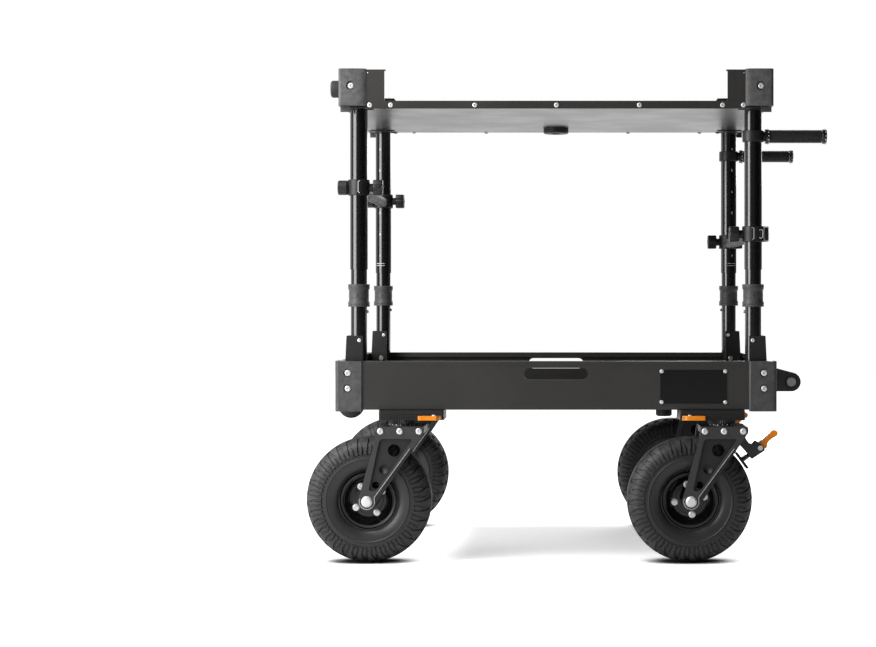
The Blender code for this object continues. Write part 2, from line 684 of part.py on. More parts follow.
def make_brackets():
    """U-shaped brackets. The web is outboard, so that each leg folds inward out of the open side."""
    base, floor = BRACKET_BASE_Z, BRACKET_BASE_Z + BRACKET_FOOT_HEIGHT
    shape = [
        (BRACKET_TOP_OUT, BRACKET_TOP_Z),
        (BRACKET_BOTTOM_OUT, base + BRACKET_FOOT_HEIGHT / 2),
        (-BRACKET_BOTTOM_IN, base + BRACKET_FOOT_HEIGHT / 2),
        (-BRACKET_TOP_IN, LEG_PIVOT_Z),
        (-BRACKET_TOP_IN, BRACKET_TOP_Z),
    ]
    slope = (BRACKET_BOTTOM_OUT - BRACKET_TOP_OUT) / (BRACKET_TOP_Z - base)
    over = BRACKET_SHEET
    channel = [
        (BRACKET_TOP_OUT - BRACKET_SHEET - slope * over, BRACKET_TOP_Z + over),
        (BRACKET_BOTTOM_OUT - BRACKET_SHEET - slope * (floor - base), floor),
        (-2 * BRACKET_BOTTOM_OUT, floor),
        (-2 * BRACKET_BOTTOM_OUT, BRACKET_TOP_Z + over),
    ]
    for side_name, side in SIDES.items():
        for row_name, row in ROWS.items():
            at = (side * LEG_X, row * LEG_Y, 0)
            mesh = extruded(on_side(side, shape), -BRACKET_HALF, BRACKET_HALF, "Y")
            bracket = add_part(f"leg_bracket_{side_name}_{row_name}", mesh, "bracket_black", "tray", at)
            foot = block(
                (-BRACKET_FOOT_LENGTH / 2, BRACKET_FOOT_LENGTH / 2),
                (-BRACKET_FOOT_DEPTH / 2, BRACKET_FOOT_DEPTH / 2),
                (base, floor),
            )
            fuse(bracket, foot, at)
            cut(bracket, extruded(on_side(side, channel), -BRACKET_INNER_HALF, BRACKET_INNER_HALF, "Y"), at)
            pivot_x = at[0] + side * LEG_PIVOT_OFFSET
            through = 2 * BRACKET_HALF
            hole = rod(LEG_PIN_RADIUS + GAP, -through, through, SMALL_SIDES, "Y")
            cut(bracket, hole, (pivot_x, at[1], LEG_PIVOT_Z))


# The folding legs
def make_legs():
    for side_name, side in SIDES.items():
        make_body(f"{side_name}_legs", (side * (LEG_X + LEG_PIVOT_OFFSET), 0, LEG_PIVOT_Z), "tray")
        for row_name, row in ROWS.items():
            place = (side * LEG_X, row * LEG_Y)
            make_leg(side_name, row_name, side, *place)
            make_collar(side_name, row_name, *place)
        make_crossbar(side_name, side)


def make_leg(side_name, row_name, side, x, y):
    """A lower tube with the outer sleeve on it. Its lower end is rounded about the pivot."""
    bore_floor = LEG_PIVOT_Z + LEG_END_RADIUS
    sleeve_z = LEG_PIVOT_Z + SLEEVE_START
    profile = [
        (0, LEG_PIVOT_Z - LEG_END_RADIUS - BRACKET_SHEET),
        (LOWER_TUBE_RADIUS, LEG_PIVOT_Z - LEG_END_RADIUS - BRACKET_SHEET),
        (LOWER_TUBE_RADIUS, sleeve_z),
        (SLEEVE_RADIUS, sleeve_z),
        (SLEEVE_RADIUS, LEG_TOP_Z),
        (TUBE_BORE_RADIUS, LEG_TOP_Z),
        (TUBE_BORE_RADIUS, bore_floor),
        (0, bore_floor),
    ]
    name = f"leg_tube_{side_name}_{row_name}"
    leg = add_part(name, turned(profile, TUBE_SIDES), "anodised_black", f"{side_name}_legs", (x, y, 0))

    pivot = (x + side * LEG_PIVOT_OFFSET, y, LEG_PIVOT_Z)
    wide = 2 * LEG_END_RADIUS
    waste = arc((0, 0), LEG_END_RADIUS, 180, 360, 7) + [(wide, 0), (wide, -wide), (-wide, -wide), (-wide, 0)]
    cut(leg, extruded(waste, -wide, wide, "Y"), pivot)

    inner = BRACKET_HALF + GAP
    half_profile = [
        (0, -inner - LEG_PIN_HEAD_HEIGHT),
        (LEG_PIN_HEAD_RADIUS, -inner - LEG_PIN_HEAD_HEIGHT),
        (LEG_PIN_HEAD_RADIUS, -inner),
        (LEG_PIN_RADIUS, -inner),
    ]
    fuse(leg, turned(mirrored(half_profile), SMALL_SIDES, "Y", 0.5), pivot)


def make_collar(side_name, row_name, x, y):
    body = f"{side_name}_{row_name}_collar"
    at = (x, y, LEG_PIVOT_Z + COLLAR_START)
    make_body(body, at, f"{side_name}_legs")
    inner = LOWER_TUBE_RADIUS + GAP
    waist = COLLAR_LIP_HEIGHT + COLLAR_LIP_SLOPE
    profile = [
        (inner, 0),
        (COLLAR_LIP_RADIUS, 0),
        (COLLAR_LIP_RADIUS, COLLAR_LIP_HEIGHT),
        (COLLAR_RADIUS, waist),
        (COLLAR_RADIUS, COLLAR_HEIGHT - waist),
        (COLLAR_LIP_RADIUS, COLLAR_HEIGHT - COLLAR_LIP_HEIGHT),
        (COLLAR_LIP_RADIUS, COLLAR_HEIGHT),
        (inner, COLLAR_HEIGHT),
    ]
    add_part(f"leg_collar_{side_name}_{row_name}", turned(profile, TUBE_SIDES), "collar_grey", body, at)


def make_crossbar(side_name, side):
    """A bar across a leg pair. The clamp at each end slides on the sleeve, and a knob locks it."""
    z = LEG_TOP_Z - CROSSBAR_DROPS[side_name]
    body = f"{side_name}_crossbar"
    make_body(body, (side * LEG_X, 0, z), f"{side_name}_legs")
    root = SLEEVE_BORE_RADIUS + CLAMP_ROOT
    reach = LEG_Y - root
    bar = rod(CROSSBAR_RADIUS, -reach, reach, TUBE_SIDES, "Y")
    bar_at = (side * LEG_X, 0, z - CROSSBAR_OFFSET)
    crossbar = add_part(f"crossbar_{side_name}", bar, "anodised_black", body, bar_at)
    half = CLAMP_HEIGHT / 2
    outer = SLEEVE_BORE_RADIUS + CLAMP_WALL
    stud_end = CLAMP_BOSS_REACH + STUD_LENGTH
    for row_name, row in ROWS.items():
        at = (side * LEG_X, row * LEG_Y, z)
        fuse(crossbar, ring(SLEEVE_BORE_RADIUS, outer, -half, half, TUBE_SIDES), at)
        spindle = [
            (0, -side * root),
            (CLAMP_BOSS_RADIUS, -side * root),
            (CLAMP_BOSS_RADIUS, -side * CLAMP_BOSS_REACH),
            (STUD_RADIUS, -side * CLAMP_BOSS_REACH),
            (STUD_RADIUS, -side * stud_end),
            (0, -side * stud_end),
        ]
        fuse(crossbar, turned(spindle, SMALL_SIDES, "X", 0.5), at)
        if side_name == "left":
            cap = rod(CLAMP_END_RADIUS, side * root, side * CLAMP_END_REACH, TUBE_SIDES, "X")
        else:
            cheek = CLAMP_BLOCK_WIDTH / 2
            lid = half - GAP
            cap = block((side * root, side * CLAMP_BLOCK_REACH), (-cheek, cheek), (-lid, lid))
        fuse(crossbar, cap, at)
        make_knob(side_name, row_name, side, at)


def make_knob(side_name, row_name, side, clamp_at):
    """A lobed knob on the clamp's stud."""
    at = (clamp_at[0] - side * (CLAMP_BOSS_REACH + GAP), clamp_at[1], clamp_at[2])
    body = f"{side_name}_{row_name}_knob"
    make_body(body, at, f"{side_name}_crossbar")
    points = KNOB_LOBES * 4
    outline = []
    for i in range(points):
        angle = 2 * math.pi * i / points
        radius = KNOB_RADIUS - KNOB_LOBE_DEPTH * (1 - math.cos(KNOB_LOBES * angle)) / 2
        outline.append((radius * math.cos(angle), radius * math.sin(angle)))
    mesh = extruded(outline, 0, -side * KNOB_WIDTH, "X")
    knob = add_part(f"crossbar_knob_{side_name}_{row_name}", mesh, "black_plastic", body, at)
    bore = rod(STUD_RADIUS + GAP, side * STUD_LENGTH, -side * (STUD_LENGTH + GAP), SMALL_SIDES, "X")
    cut(knob, bore, at)


def make_push_handles():
    """Grips on the right legs. Each swings round its sleeve on a clamp ring."""
    half = HANDLE_CLAMP_HEIGHT / 2
    outer = SLEEVE_BORE_RADIUS + HANDLE_CLAMP_WALL
    root = SLEEVE_BORE_RADIUS + HANDLE_ROOT
    end = GRIP_START + GRIP_LENGTH
    neck = GRIP_START + LOCK_RING_WIDTH
    cap = end - LOCK_RING_WIDTH
    step = LOCK_RING_RADIUS - GRIP_RADIUS
    profile = [
        (0, root),
        (HANDLE_BAR_RADIUS, root),
        (HANDLE_BAR_RADIUS, GRIP_START),
        (LOCK_RING_RADIUS, GRIP_START),
        (LOCK_RING_RADIUS, neck),
        (GRIP_RADIUS, neck + step),
        (GRIP_RADIUS, cap - step),
        (LOCK_RING_RADIUS, cap),
        (LOCK_RING_RADIUS, end),
        (0, end),
    ]
    for row_name, row in ROWS.items():
        at = (LEG_X, row * LEG_Y, LEG_TOP_Z - HANDLE_DROP)
        body = f"{row_name}_push_handle"
        make_body(body, at, "right_legs")
        clamp = ring(SLEEVE_BORE_RADIUS, outer, -half, half, RING_SIDES)
        handle = add_part(f"push_handle_{row_name}", clamp, "black_rubber", body, at)
        fuse(handle, turned(profile, TUBE_SIDES, "X", 0.5), at)


# The shelf
def make_shelf():
    """A sheet-metal deck with a rim along its front and back and a raised wall across each end."""
    make_body("shelf", (0, 0, DECK_BOTTOM_Z), "tray")
    ends = (-DECK_END_X, DECK_END_X)
    deck = add_part(
        "shelf_deck",
        block(ends, (-DECK_FRONT_Y, DECK_FRONT_Y), (DECK_BOTTOM_Z, DECK_TOP_Z)),
        "tray_powder_coat",
        "shelf",
        (0, 0, 0),
    )
    rim_end = BLOCK_END_X - BLOCK_LENGTH - GAP
    rim_heights = (DECK_BOTTOM_Z - RIM_DROP, DECK_TOP_Z + RIM_RISE)
    for row in ROWS.values():
        rim_faces = (row * DECK_FRONT_Y, row * (DECK_FRONT_Y - DECK_SHEET))
        fuse(deck, block((-rim_end, rim_end), rim_faces, rim_heights), (0, 0, 0))
    for side_name, side in SIDES.items():
        make_end_wall(deck, side)
        for row_name, row in ROWS.items():
            make_saddle(deck, side, row)
            make_shelf_block(f"{side_name}_{row_name}", side, row)


def end_wall_line(inset, x_in):
    """One face of the end wall, seen from above. It steps in round the corner blocks and returns at both ends."""
    x_out = DECK_END_X - inset
    x_notch = BLOCK_END_X - BLOCK_LENGTH - GAP - inset
    y_out = DECK_FRONT_Y - inset
    y_notch = BLOCK_FRONT_Y - BLOCK_DEPTH - GAP - inset
    half = [(x_out, y_notch), (x_notch, y_notch), (x_notch, y_out), (x_in, y_out)]
    return [(x, -y) for x, y in reversed(half)] + half


def end_wall_outline(side, width, x_in):
    return on_side(side, end_wall_line(0, x_in) + end_wall_line(width, x_in)[::-1])


def make_end_wall(deck, side):
    """A folded sheet that stands across one end, with a lip along its top."""
    x_in = DECK_END_X - END_WALL_RETURN
    wall = extruded(end_wall_outline(side, END_WALL_SHEET, x_in), DECK_BOTTOM_Z, END_WALL_TOP_Z)
    fuse(deck, wall, (0, 0, 0))
    lip = end_wall_outline(side, END_WALL_LIP, x_in - END_WALL_LIP_OVER)
    fuse(deck, extruded(lip, END_WALL_TOP_Z - END_WALL_SHEET, END_WALL_TOP_Z), (0, 0, 0))


def make_saddle(deck, side, row):
    """A plate and a U-shaped seat that drop over a leg's top. They are open inward, where the leg folds."""
    inner = SLEEVE_RADIUS + SADDLE_GAP
    outer = inner + SADDLE_WALL
    steps = TUBE_SIDES // 2
    back = arc((0, 0), inner, 90, -90, steps)
    seat = arc((0, 0), outer, -90, 90, steps) + [(-outer, outer), (-outer, inner)]
    seat += back + [(-outer, -inner), (-outer, -outer)]
    reach, half = SADDLE_PLATE_REACH, SADDLE_PLATE_HALF
    plate = [(reach, -half), (reach, half), (-reach, half), (-reach, inner), *back, (-reach, -inner), (-reach, -half)]
    at = (side * LEG_X, row * LEG_Y, DECK_BOTTOM_Z)
    fuse(deck, extruded(on_side(side, plate), -SADDLE_PLATE_SHEET, DECK_SHEET / 2), at)
    fuse(deck, extruded(on_side(side, seat), -SADDLE_HEIGHT, -SADDLE_PLATE_SHEET / 2), at)


def make_shelf_block(name, side, row):
    """A moulded corner block. Its faces slope back to the rim and the end rail beside it."""
    x1, y1 = BLOCK_END_X, BLOCK_FRONT_Y
    x0, y0 = x1 - BLOCK_LENGTH, y1 - BLOCK_DEPTH
    outline = [
        (x1, y0 + BLOCK_FACE_SLOPE),
        (x1, y1 - BLOCK_CORNER),
        (x1 - BLOCK_CORNER, y1),
        (x0 + BLOCK_FACE_SLOPE, y1),
        (x0, y1 - BLOCK_PROUD),
        (x0, y0),
        (x1 - BLOCK_PROUD, y0),
    ]
    mesh = extruded([(side * x, row * y) for x, y in outline], DECK_BOTTOM_Z, BLOCK_TOP_Z)
    corner = add_part(f"shelf_corner_{name}", mesh, "moulded_grey", "shelf", (0, 0, 0))
    seat = block(
        (0, side * (DECK_END_X + GAP)),
        (0, row * (DECK_FRONT_Y + GAP)),
        (DECK_BOTTOM_Z - DECK_SHEET, DECK_TOP_Z + GAP),
    )
    cut(corner, seat, (0, 0, 0))


def make_shelf_rubber():
    """Two bumpers on the left end's blocks, and one puck under the deck."""
    bumper = [
        (0, 0),
        (BUMPER_RADIUS, 0),
        (BUMPER_RADIUS, BUMPER_BEVEL - BUMPER_HEIGHT),
        (BUMPER_RADIUS - BUMPER_BEVEL, -BUMPER_HEIGHT),
        (0, -BUMPER_HEIGHT),
    ]
    for row_name, row in ROWS.items():
        at = (-BLOCK_END_X - GAP, row * (BLOCK_FRONT_Y - BLOCK_DEPTH / 2), BLOCK_TOP_Z - BUMPER_DROP)
        mesh = turned(bumper, TUBE_SIDES, "X", 0.5)
        add_part(f"shelf_bumper_{row_name}", mesh, "black_rubber", "shelf", at)
    puck = [
        (0, -PUCK_HEIGHT),
        (PUCK_RADIUS - PUCK_BEVEL, -PUCK_HEIGHT),
        (PUCK_RADIUS, PUCK_BEVEL - PUCK_HEIGHT),
        (PUCK_RADIUS, 0),
        (0, 0),
    ]
    at = (0, DECK_FRONT_Y - PUCK_INSET_Y, DECK_BOTTOM_Z - GAP)
    add_part("shelf_puck", turned(puck, RING_SIDES), "black_rubber", "shelf", at)


# The casters
def make_casters():
    for side_name in SIDES:
        for row_name, row in ROWS.items():
            name = f"{side_name}_{row_name}"
            at = (SWIVEL_X[side_name], row * SWIVEL_Y, 0)
            make_body(f"{name}_swivel", at, "tray")
            fork = make_fork(name, at)
            if side_name == "right":
                make_brake(fork, name, row_name, at)
            make_wheel(name, at)


def fork_corners():
    """The side plate's corners about the swivel's axis: its left and right shoulders and the axle."""
    left = (-YOKE_LEFT - FORK_SHOULDER_OUT, YOKE_TOP_Z - FORK_SHOULDER_DROP)
    right = (YOKE_RIGHT - FORK_CHIN_IN, YOKE_TOP_Z - FORK_CHIN_DROP)
    return left, right, (-CASTER_TRAIL, AXLE_Z)


def fork_outline():
    """A side plate seen from the front. It trails toward -X to a round boss at the axle."""
    left, right, axle = fork_corners()
    start = tangent_angle(left, axle, FORK_BOSS_RADIUS, 1)
    end = tangent_angle(right, axle, FORK_BOSS_RADIUS, -1) + 360
    outline = [(-YOKE_LEFT, YOKE_TOP_Z), left] + arc(axle, FORK_BOSS_RADIUS, start, end, 6)
    return outline + [right, (YOKE_RIGHT, YOKE_TOP_Z - FORK_LIP_DROP), (YOKE_RIGHT, YOKE_TOP_Z)]


def fork_pocket_outline():
    """The shallow pocket in a side plate's outer face, a margin inside the plate's slanted edges."""
    left, right, axle = fork_corners()
    low_z = AXLE_Z + FORK_BOSS_RADIUS + FORK_POCKET_MARGIN / 2
    high_z = left[1] - FORK_POCKET_MARGIN / 2
    outline = []
    for corner, sign in ((left, 1), (right, -1)):
        edge_x = axle[0] - sign * FORK_BOSS_RADIUS
        for z in (low_z, high_z):
            share = (z - axle[1]) / (corner[1] - axle[1])
            outline.append((edge_x + (corner[0] - edge_x) * share + sign * FORK_POCKET_MARGIN, z))
    return [outline[0], outline[1], outline[3], outline[2]]


def make_fork(name, at):
    """Two side plates joined by the yoke, with the turntable's neck on top and the axle across."""
    half = FORK_OUTER_WIDTH / 2
    outline = fork_outline()
    plate = extruded(outline, -half, -half + FORK_PLATE, "Y")
    fork = add_part(f"caster_fork_{name}", plate, "fork_black", f"{name}_swivel", at)
    fuse(fork, extruded(outline, half - FORK_PLATE, half, "Y"), at)
    inset = half - YOKE_INSET
    x_range = (YOKE_INSET - YOKE_LEFT, YOKE_RIGHT - YOKE_INSET)
    fuse(fork, block(x_range, (-inset, inset), (YOKE_BOTTOM_Z, YOKE_TOP_Z - YOKE_INSET)), at)
    fuse(fork, rod(TURNTABLE_RADIUS, YOKE_BOTTOM_Z + YOKE_INSET, TURNTABLE_TOP_Z, TUBE_SIDES), at)

    pocket = fork_pocket_outline()
    for row in ROWS.values():
        faces = (row * (half - FORK_POCKET_DEPTH), row * (half + FORK_POCKET_DEPTH))
        cut(fork, extruded(pocket, *faces, "Y"), at)
    top = (0, YOKE_BOTTOM_Z - FORK_POCKET_MARGIN)
    for share, radius in FORK_HOLES:
        x = -CASTER_TRAIL + (top[0] + CASTER_TRAIL) * share
        z = AXLE_Z + (top[1] - AXLE_Z) * share
        hole = rod(radius, -2 * half, 2 * half, SMALL_SIDES, "Y")
        cut(fork, hole, (at[0] + x, at[1], z))

    outer = half + AXLE_HEAD_HEIGHT
    inner = half - FORK_PLATE / 2
    half_profile = [
        (0, -outer),
        (AXLE_HEAD_RADIUS, -outer),
        (AXLE_HEAD_RADIUS, -inner),
        (AXLE_RADIUS, -inner),
    ]
    axle = turned(mirrored(half_profile), SMALL_SIDES, "Y", 0.5)
    fuse(fork, axle, (at[0] - CASTER_TRAIL, at[1], AXLE_Z))
    return fork


def make_wheel(name, at):
    """A split rim on the fork's axle, with a pneumatic tyre that is open to the rim inside."""
    axle_at = (at[0] - CASTER_TRAIL, at[1], AXLE_Z)
    body = f"{name}_wheel"
    make_body(body, axle_at, f"{name}_swivel")

    flange = RIM_WIDTH / 2
    barrel = RIM_SEAT_RADIUS - RIM_WALL
    half_profile = [
        (AXLE_RADIUS + GAP, HUB_LENGTH / 2),
        (HUB_RADIUS, HUB_LENGTH / 2),
        (HUB_RADIUS, HUB_WEB / 2),
        (barrel, HUB_WEB / 2),
        (RIM_RADIUS - RIM_WALL, flange),
        (RIM_RADIUS, flange),
        (RIM_SEAT_RADIUS, flange - RIM_WALL),
    ]
    rim = turned(mirrored(half_profile), WHEEL_SIDES, "Y")
    add_part(f"wheel_rim_{name}", rim, "rim_gloss_black", body, axle_at)

    half = TYRE_WIDTH / 2
    seat = RIM_SEAT_RADIUS + GAP
    bead_side = flange - RIM_WALL - GAP
    outer_skin = [
        (seat, bead_side),
        (RIM_RADIUS + GAP, flange - GAP),
        (RIM_RADIUS + TYRE_BULGE, half),
        (TYRE_RADIUS - TYRE_SHOULDER, half),
        (TYRE_RADIUS, TREAD_WIDTH / 2),
    ]
    inner_skin = [
        (seat, bead_side - TYRE_WALL),
        (RIM_RADIUS + TYRE_BULGE, half - TYRE_WALL),
        (TYRE_RADIUS - TREAD_WALL, TREAD_WIDTH / 2),
    ]
    profile = mirrored(outer_skin) + [(radius, -height) for radius, height in inner_skin]
    profile += reversed(inner_skin)
    add_part(f"tyre_{name}", turned(profile, WHEEL_SIDES, "Y"), "tyre_rubber", body, axle_at)


def make_brake(fork, name, row_name, at):
    """An arm on the yoke carries a foot lever, whose hub pushes a plunger and a shoe toward the tyre."""
    pivot = Vector((at[0] + YOKE_RIGHT + BRAKE_PIVOT_OUT, at[1], YOKE_BOTTOM_Z - BRAKE_PIVOT_DROP))
    axle = Vector((at[0] - CASTER_TRAIL, at[1], AXLE_Z))
    to_pivot = pivot - axle
    away = to_pivot.normalized()
    angle = math.degrees(math.atan2(away.z, away.x))
    half = BRAKE_WIDTH / 2

    root = BRAKE_PIVOT_DROP + YOKE_THICKNESS / 2
    guide = arc((0, 0), BRAKE_GUIDE_REACH, angle + 180, angle + 180, 1)[0]
    aside = (-away.z * BRAKE_GUIDE_WIDTH / 2, away.x * BRAKE_GUIDE_WIDTH / 2)
    neck = -BRAKE_PIVOT_OUT - 2 * YOKE_INSET
    outline = [
        (-BRAKE_PIVOT_OUT - BRAKE_ARM_ROOT, root),
        (neck, root),
        (neck, root - BRAKE_ARM_DROP),
        *BRAKE_ARM_NOTCH,
        BRAKE_ARM_NOSE,
        (guide[0] - aside[0], guide[1] - aside[1]),
        (guide[0] + aside[0], guide[1] + aside[1]),
        BRAKE_ARM_HEEL,
    ]
    fuse(fork, extruded(outline, -half, half, "Y"), pivot)
    clear = BRAKE_LEVER_LENGTH
    slot = block((-2 * BRAKE_HUB_RADIUS, clear), (-BRAKE_SLOT / 2, BRAKE_SLOT / 2), (-clear, clear))
    cut(fork, slot, pivot)

    shoe_at = axle + away * (TYRE_RADIUS + SHOE_REST_GAP)
    reach = (pivot - shoe_at).length - BRAKE_HUB_RADIUS - GAP
    turn = Matrix.Rotation(math.radians(90 - angle), 3, "Y")
    bore = rod(PLUNGER_RADIUS + GAP, SHOE_THICKNESS, reach + GAP, SMALL_SIDES)
    cut(fork, bore, shoe_at, turn)
    fuse(fork, rod(BRAKE_PIN_RADIUS, -half - GAP, half + GAP, SMALL_SIDES, "Y"), pivot)

    body = f"{row_name}_brake_shoe"
    make_body(body, shoe_at, f"{name}_swivel")
    length, width = SHOE_LENGTH / 2, SHOE_WIDTH / 2
    pad = block((-length, length), (-width, width), (0, SHOE_THICKNESS))
    shoe = add_part(f"brake_shoe_{row_name}", pad, "fork_black", body, shoe_at, turn)
    fuse(shoe, rod(PLUNGER_RADIUS, SHOE_THICKNESS / 2, reach, SMALL_SIDES), shoe_at, turn)

    body = f"{row_name}_brake_lever"
    make_body(body, pivot, f"{name}_swivel")
    wide = BRAKE_SLOT / 2 - GAP
    tip = arc((0, 0), BRAKE_LEVER_LENGTH, BRAKE_LEVER_ANGLE, BRAKE_LEVER_ANGLE, 1)[0]
    outline = arc((0, 0), BRAKE_HUB_RADIUS, BRAKE_LEVER_ANGLE + 70, BRAKE_LEVER_ANGLE + 290, 10)
    outline += arc(tip, BRAKE_TIP_RADIUS, BRAKE_LEVER_ANGLE - 90, BRAKE_LEVER_ANGLE + 90, 6)
    lever = add_part(f"brake_lever_{row_name}", extruded(outline, -wide, wide, "Y"), "orange_anodised", body, pivot)
    cut(lever, rod(BRAKE_PIN_RADIUS + GAP, -BRAKE_SLOT, BRAKE_SLOT, SMALL_SIDES, "Y"), pivot)


def main():
    clear_scene()
    make_paints()
    make_body("tray", (0, 0, 0))
    make_tray()
    make_protectors()
    make_rails()
    make_carry_handle()
    make_feet()
    make_brackets()
    make_legs()
    make_push_handles()
    make_shelf()
    make_shelf_rubber()
    make_casters()


main()
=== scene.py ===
import json
import math

import bmesh
import bpy
from mathutils import Matrix, Vector


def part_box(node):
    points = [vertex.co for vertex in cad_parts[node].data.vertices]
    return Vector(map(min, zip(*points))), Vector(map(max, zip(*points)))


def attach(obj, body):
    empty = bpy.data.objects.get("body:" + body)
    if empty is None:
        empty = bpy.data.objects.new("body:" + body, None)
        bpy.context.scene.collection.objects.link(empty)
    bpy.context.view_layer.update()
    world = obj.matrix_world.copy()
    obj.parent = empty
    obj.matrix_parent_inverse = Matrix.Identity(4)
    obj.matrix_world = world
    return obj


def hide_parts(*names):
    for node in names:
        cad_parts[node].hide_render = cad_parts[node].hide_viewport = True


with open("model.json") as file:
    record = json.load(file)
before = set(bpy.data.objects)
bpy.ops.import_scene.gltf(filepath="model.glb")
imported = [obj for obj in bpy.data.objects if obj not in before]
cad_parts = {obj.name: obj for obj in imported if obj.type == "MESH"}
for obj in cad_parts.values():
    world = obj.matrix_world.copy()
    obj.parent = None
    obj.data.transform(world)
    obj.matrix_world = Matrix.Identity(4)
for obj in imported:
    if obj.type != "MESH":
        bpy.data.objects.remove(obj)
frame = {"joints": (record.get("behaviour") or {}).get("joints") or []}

bpy.ops.object.select_all(action="DESELECT")
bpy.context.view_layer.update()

TRAY_LOW, TRAY_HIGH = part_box("tray")
MIDDLE_X = (TRAY_LOW.x + TRAY_HIGH.x) / 2
SIDES = {"left": -1, "right": 1}
ROWS = {"front": -1, "back": 1}
CORNERS = [(side_name, row_name) for side_name in SIDES for row_name in ROWS]
JOINT_AT = {joint["name"]: Vector(joint["pos_m"]) for joint in frame["joints"] if "pos_m" in joint}
GAP = 0.0003
SHEET = 0.003

LEG_X = 0.429
LEG_Y = 0.263
LEG_PIVOT_Z = 0.42
LEG_TOP_Z = 0.9827
SLEEVE_RADIUS = 0.01905
TUBE_RADIUS = 0.01745
CLAMP_BORE = 0.0197
CLAMP_Z = {"left": 0.8090, "right": 0.7080}
DECK_Z = 0.9835
DECK_TOP = 0.9865
BLOCK_REACH = 0.060


# Drawing and shaping, as by hand
def begin(name, at):
    """Starts a piece as a single point, in edit mode."""
    bpy.ops.object.select_all(action="DESELECT")
    bpy.ops.mesh.primitive_plane_add(size=0.01)
    piece = bpy.context.object
    piece.name = piece.data.name = name
    bpy.ops.object.mode_set(mode="EDIT")
    bpy.ops.mesh.select_mode(type="VERT")
    bpy.ops.mesh.merge(type="CENTER")
    bpy.ops.transform.translate(value=at)
    return piece


def trace(points):
    """Draws a line on through the points, from the one that is selected."""
    for start, end in zip(points, points[1:]):
        bpy.ops.mesh.extrude_region_move(TRANSFORM_OT_translate={"value": Vector(end) - Vector(start)})


def close_shell():
    """Merges the seams, turns every face outward and leaves edit mode."""
    bpy.ops.mesh.select_all(action="SELECT")
    bpy.ops.mesh.remove_doubles(threshold=2e-6)
    bpy.ops.mesh.normals_make_consistent(inside=False)
    bpy.ops.object.mode_set(mode="OBJECT")
    return bpy.context.object


def on_plane(points, across, at):
    """Puts two-number points on the plane across an axis. Their numbers are the other two axes in order."""
    third = "XYZ".index(across)
    placed = []
    for point in points:
        place = list(point)
        place.insert(third, at)
        placed.append(Vector(place))
    return placed


def slab(name, outline, across, start, end):
    """A flat outline pulled into a solid, from start to end along an axis."""
    points = on_plane(outline, across, start)
    begin(name, points[0])
    trace(points)
    bpy.ops.mesh.select_all(action="SELECT")
    bpy.ops.mesh.edge_face_add()
    pull = on_plane([(0, 0)], across, end - start)[0]
    bpy.ops.mesh.extrude_region_move(TRANSFORM_OT_translate={"value": pull})
    return close_shell()


def lathe(name, profile, steps, along="Z", at=(0, 0, 0)):
    """A line of (radius, height) points spun about an axis through a point."""
    axis, side = {
        "X": (Vector((1, 0, 0)), Vector((0, 0, 1))),
        "Y": (Vector((0, 1, 0)), Vector((1, 0, 0))),
        "Z": (Vector((0, 0, 1)), Vector((1, 0, 0))),
    }[along]
    points = [Vector(at) + side * radius + axis * height for radius, height in profile]
    begin(name, points[0])
    trace(points)
    bpy.ops.mesh.select_all(action="SELECT")
    bpy.ops.mesh.spin(steps=steps, angle=2 * math.pi, use_auto_merge=True, center=at, axis=axis)
    return close_shell()


def rod(radius, low, high):
    """The line of a plain round bar, for a lathe."""
    return [(0, low), (radius, low), (radius, high), (0, high)]


def ring(profile):
    """Closes a lathe's line on itself, for a piece with a hole along its axis."""
    return profile + profile[:1]


def turned(profile, way):
    """A lathe's line that runs along its axis or, where way is -1, against it."""
    return [(radius, way * height) for radius, height in profile]


def mirrored(half):
    """A profile from one end to its middle, completed by its mirror image."""
    return half + [(radius, -height) for radius, height in reversed(half)]


def eased(points, size, closed=True, steps=3):
    """Rounds a line's corners by a cut of the given size. The ends of an open line are kept."""
    softened = []
    count = len(points)
    for i, corner in enumerate(points):
        here = Vector(corner)
        before, after = Vector(points[i - 1]) - here, Vector(points[(i + 1) % count]) - here
        at_end = not closed and i in (0, count - 1)
        doubled = min(before.length, after.length) < 1e-9
        straight = before.normalized().dot(after.normalized()) < -0.995
        if at_end or doubled or straight:
            softened.append(tuple(corner))
            continue
        a = here + before.normalized() * min(size, before.length * 0.45)
        b = here + after.normalized() * min(size, after.length * 0.45)
        for step in range(steps + 1):
            t = step / steps
            softened.append(tuple(a * (1 - t) ** 2 + here * 2 * t * (1 - t) + b * t**2))
    return softened


def arc(centre, radius, start, end, steps):
    """Points from one angle to another, in degrees, both ends counted."""
    angles = [math.radians(start + (end - start) * i / steps) for i in range(steps + 1)]
    return [(centre[0] + radius * math.cos(a), centre[1] + radius * math.sin(a)) for a in angles]


def circle(centre, radius, steps):
    return arc(centre, radius, 0, 360, steps)[:-1]


def rectangle(low, high):
    return [(low[0], low[1]), (high[0], low[1]), (high[0], high[1]), (low[0], high[1])]


def rounded_rectangle(low, high, radius, steps=4):
    (x0, y0), (x1, y1) = low, high
    return (
        arc((x1 - radius, y1 - radius), radius, 0, 90, steps)
        + arc((x0 + radius, y1 - radius), radius, 90, 180, steps)
        + arc((x0 + radius, y0 + radius), radius, 180, 270, steps)
        + arc((x1 - radius, y0 + radius), radius, 270, 360, steps)
    )


def ribbon(line, width):
    """The outline of a narrow strip that follows a line."""
    left, right = [], []
    for i, point in enumerate(line):
        ahead = Vector(line[min(i + 1, len(line) - 1)]) - Vector(line[max(i - 1, 0)])
        aside = Vector((-ahead.y, ahead.x)).normalized() * width / 2
        left.append(tuple(Vector(point) + aside))
        right.append(tuple(Vector(point) - aside))
    return left + right[::-1]


def shifted(points, x, y):
    return [(px + x, py + y) for px, py in points]


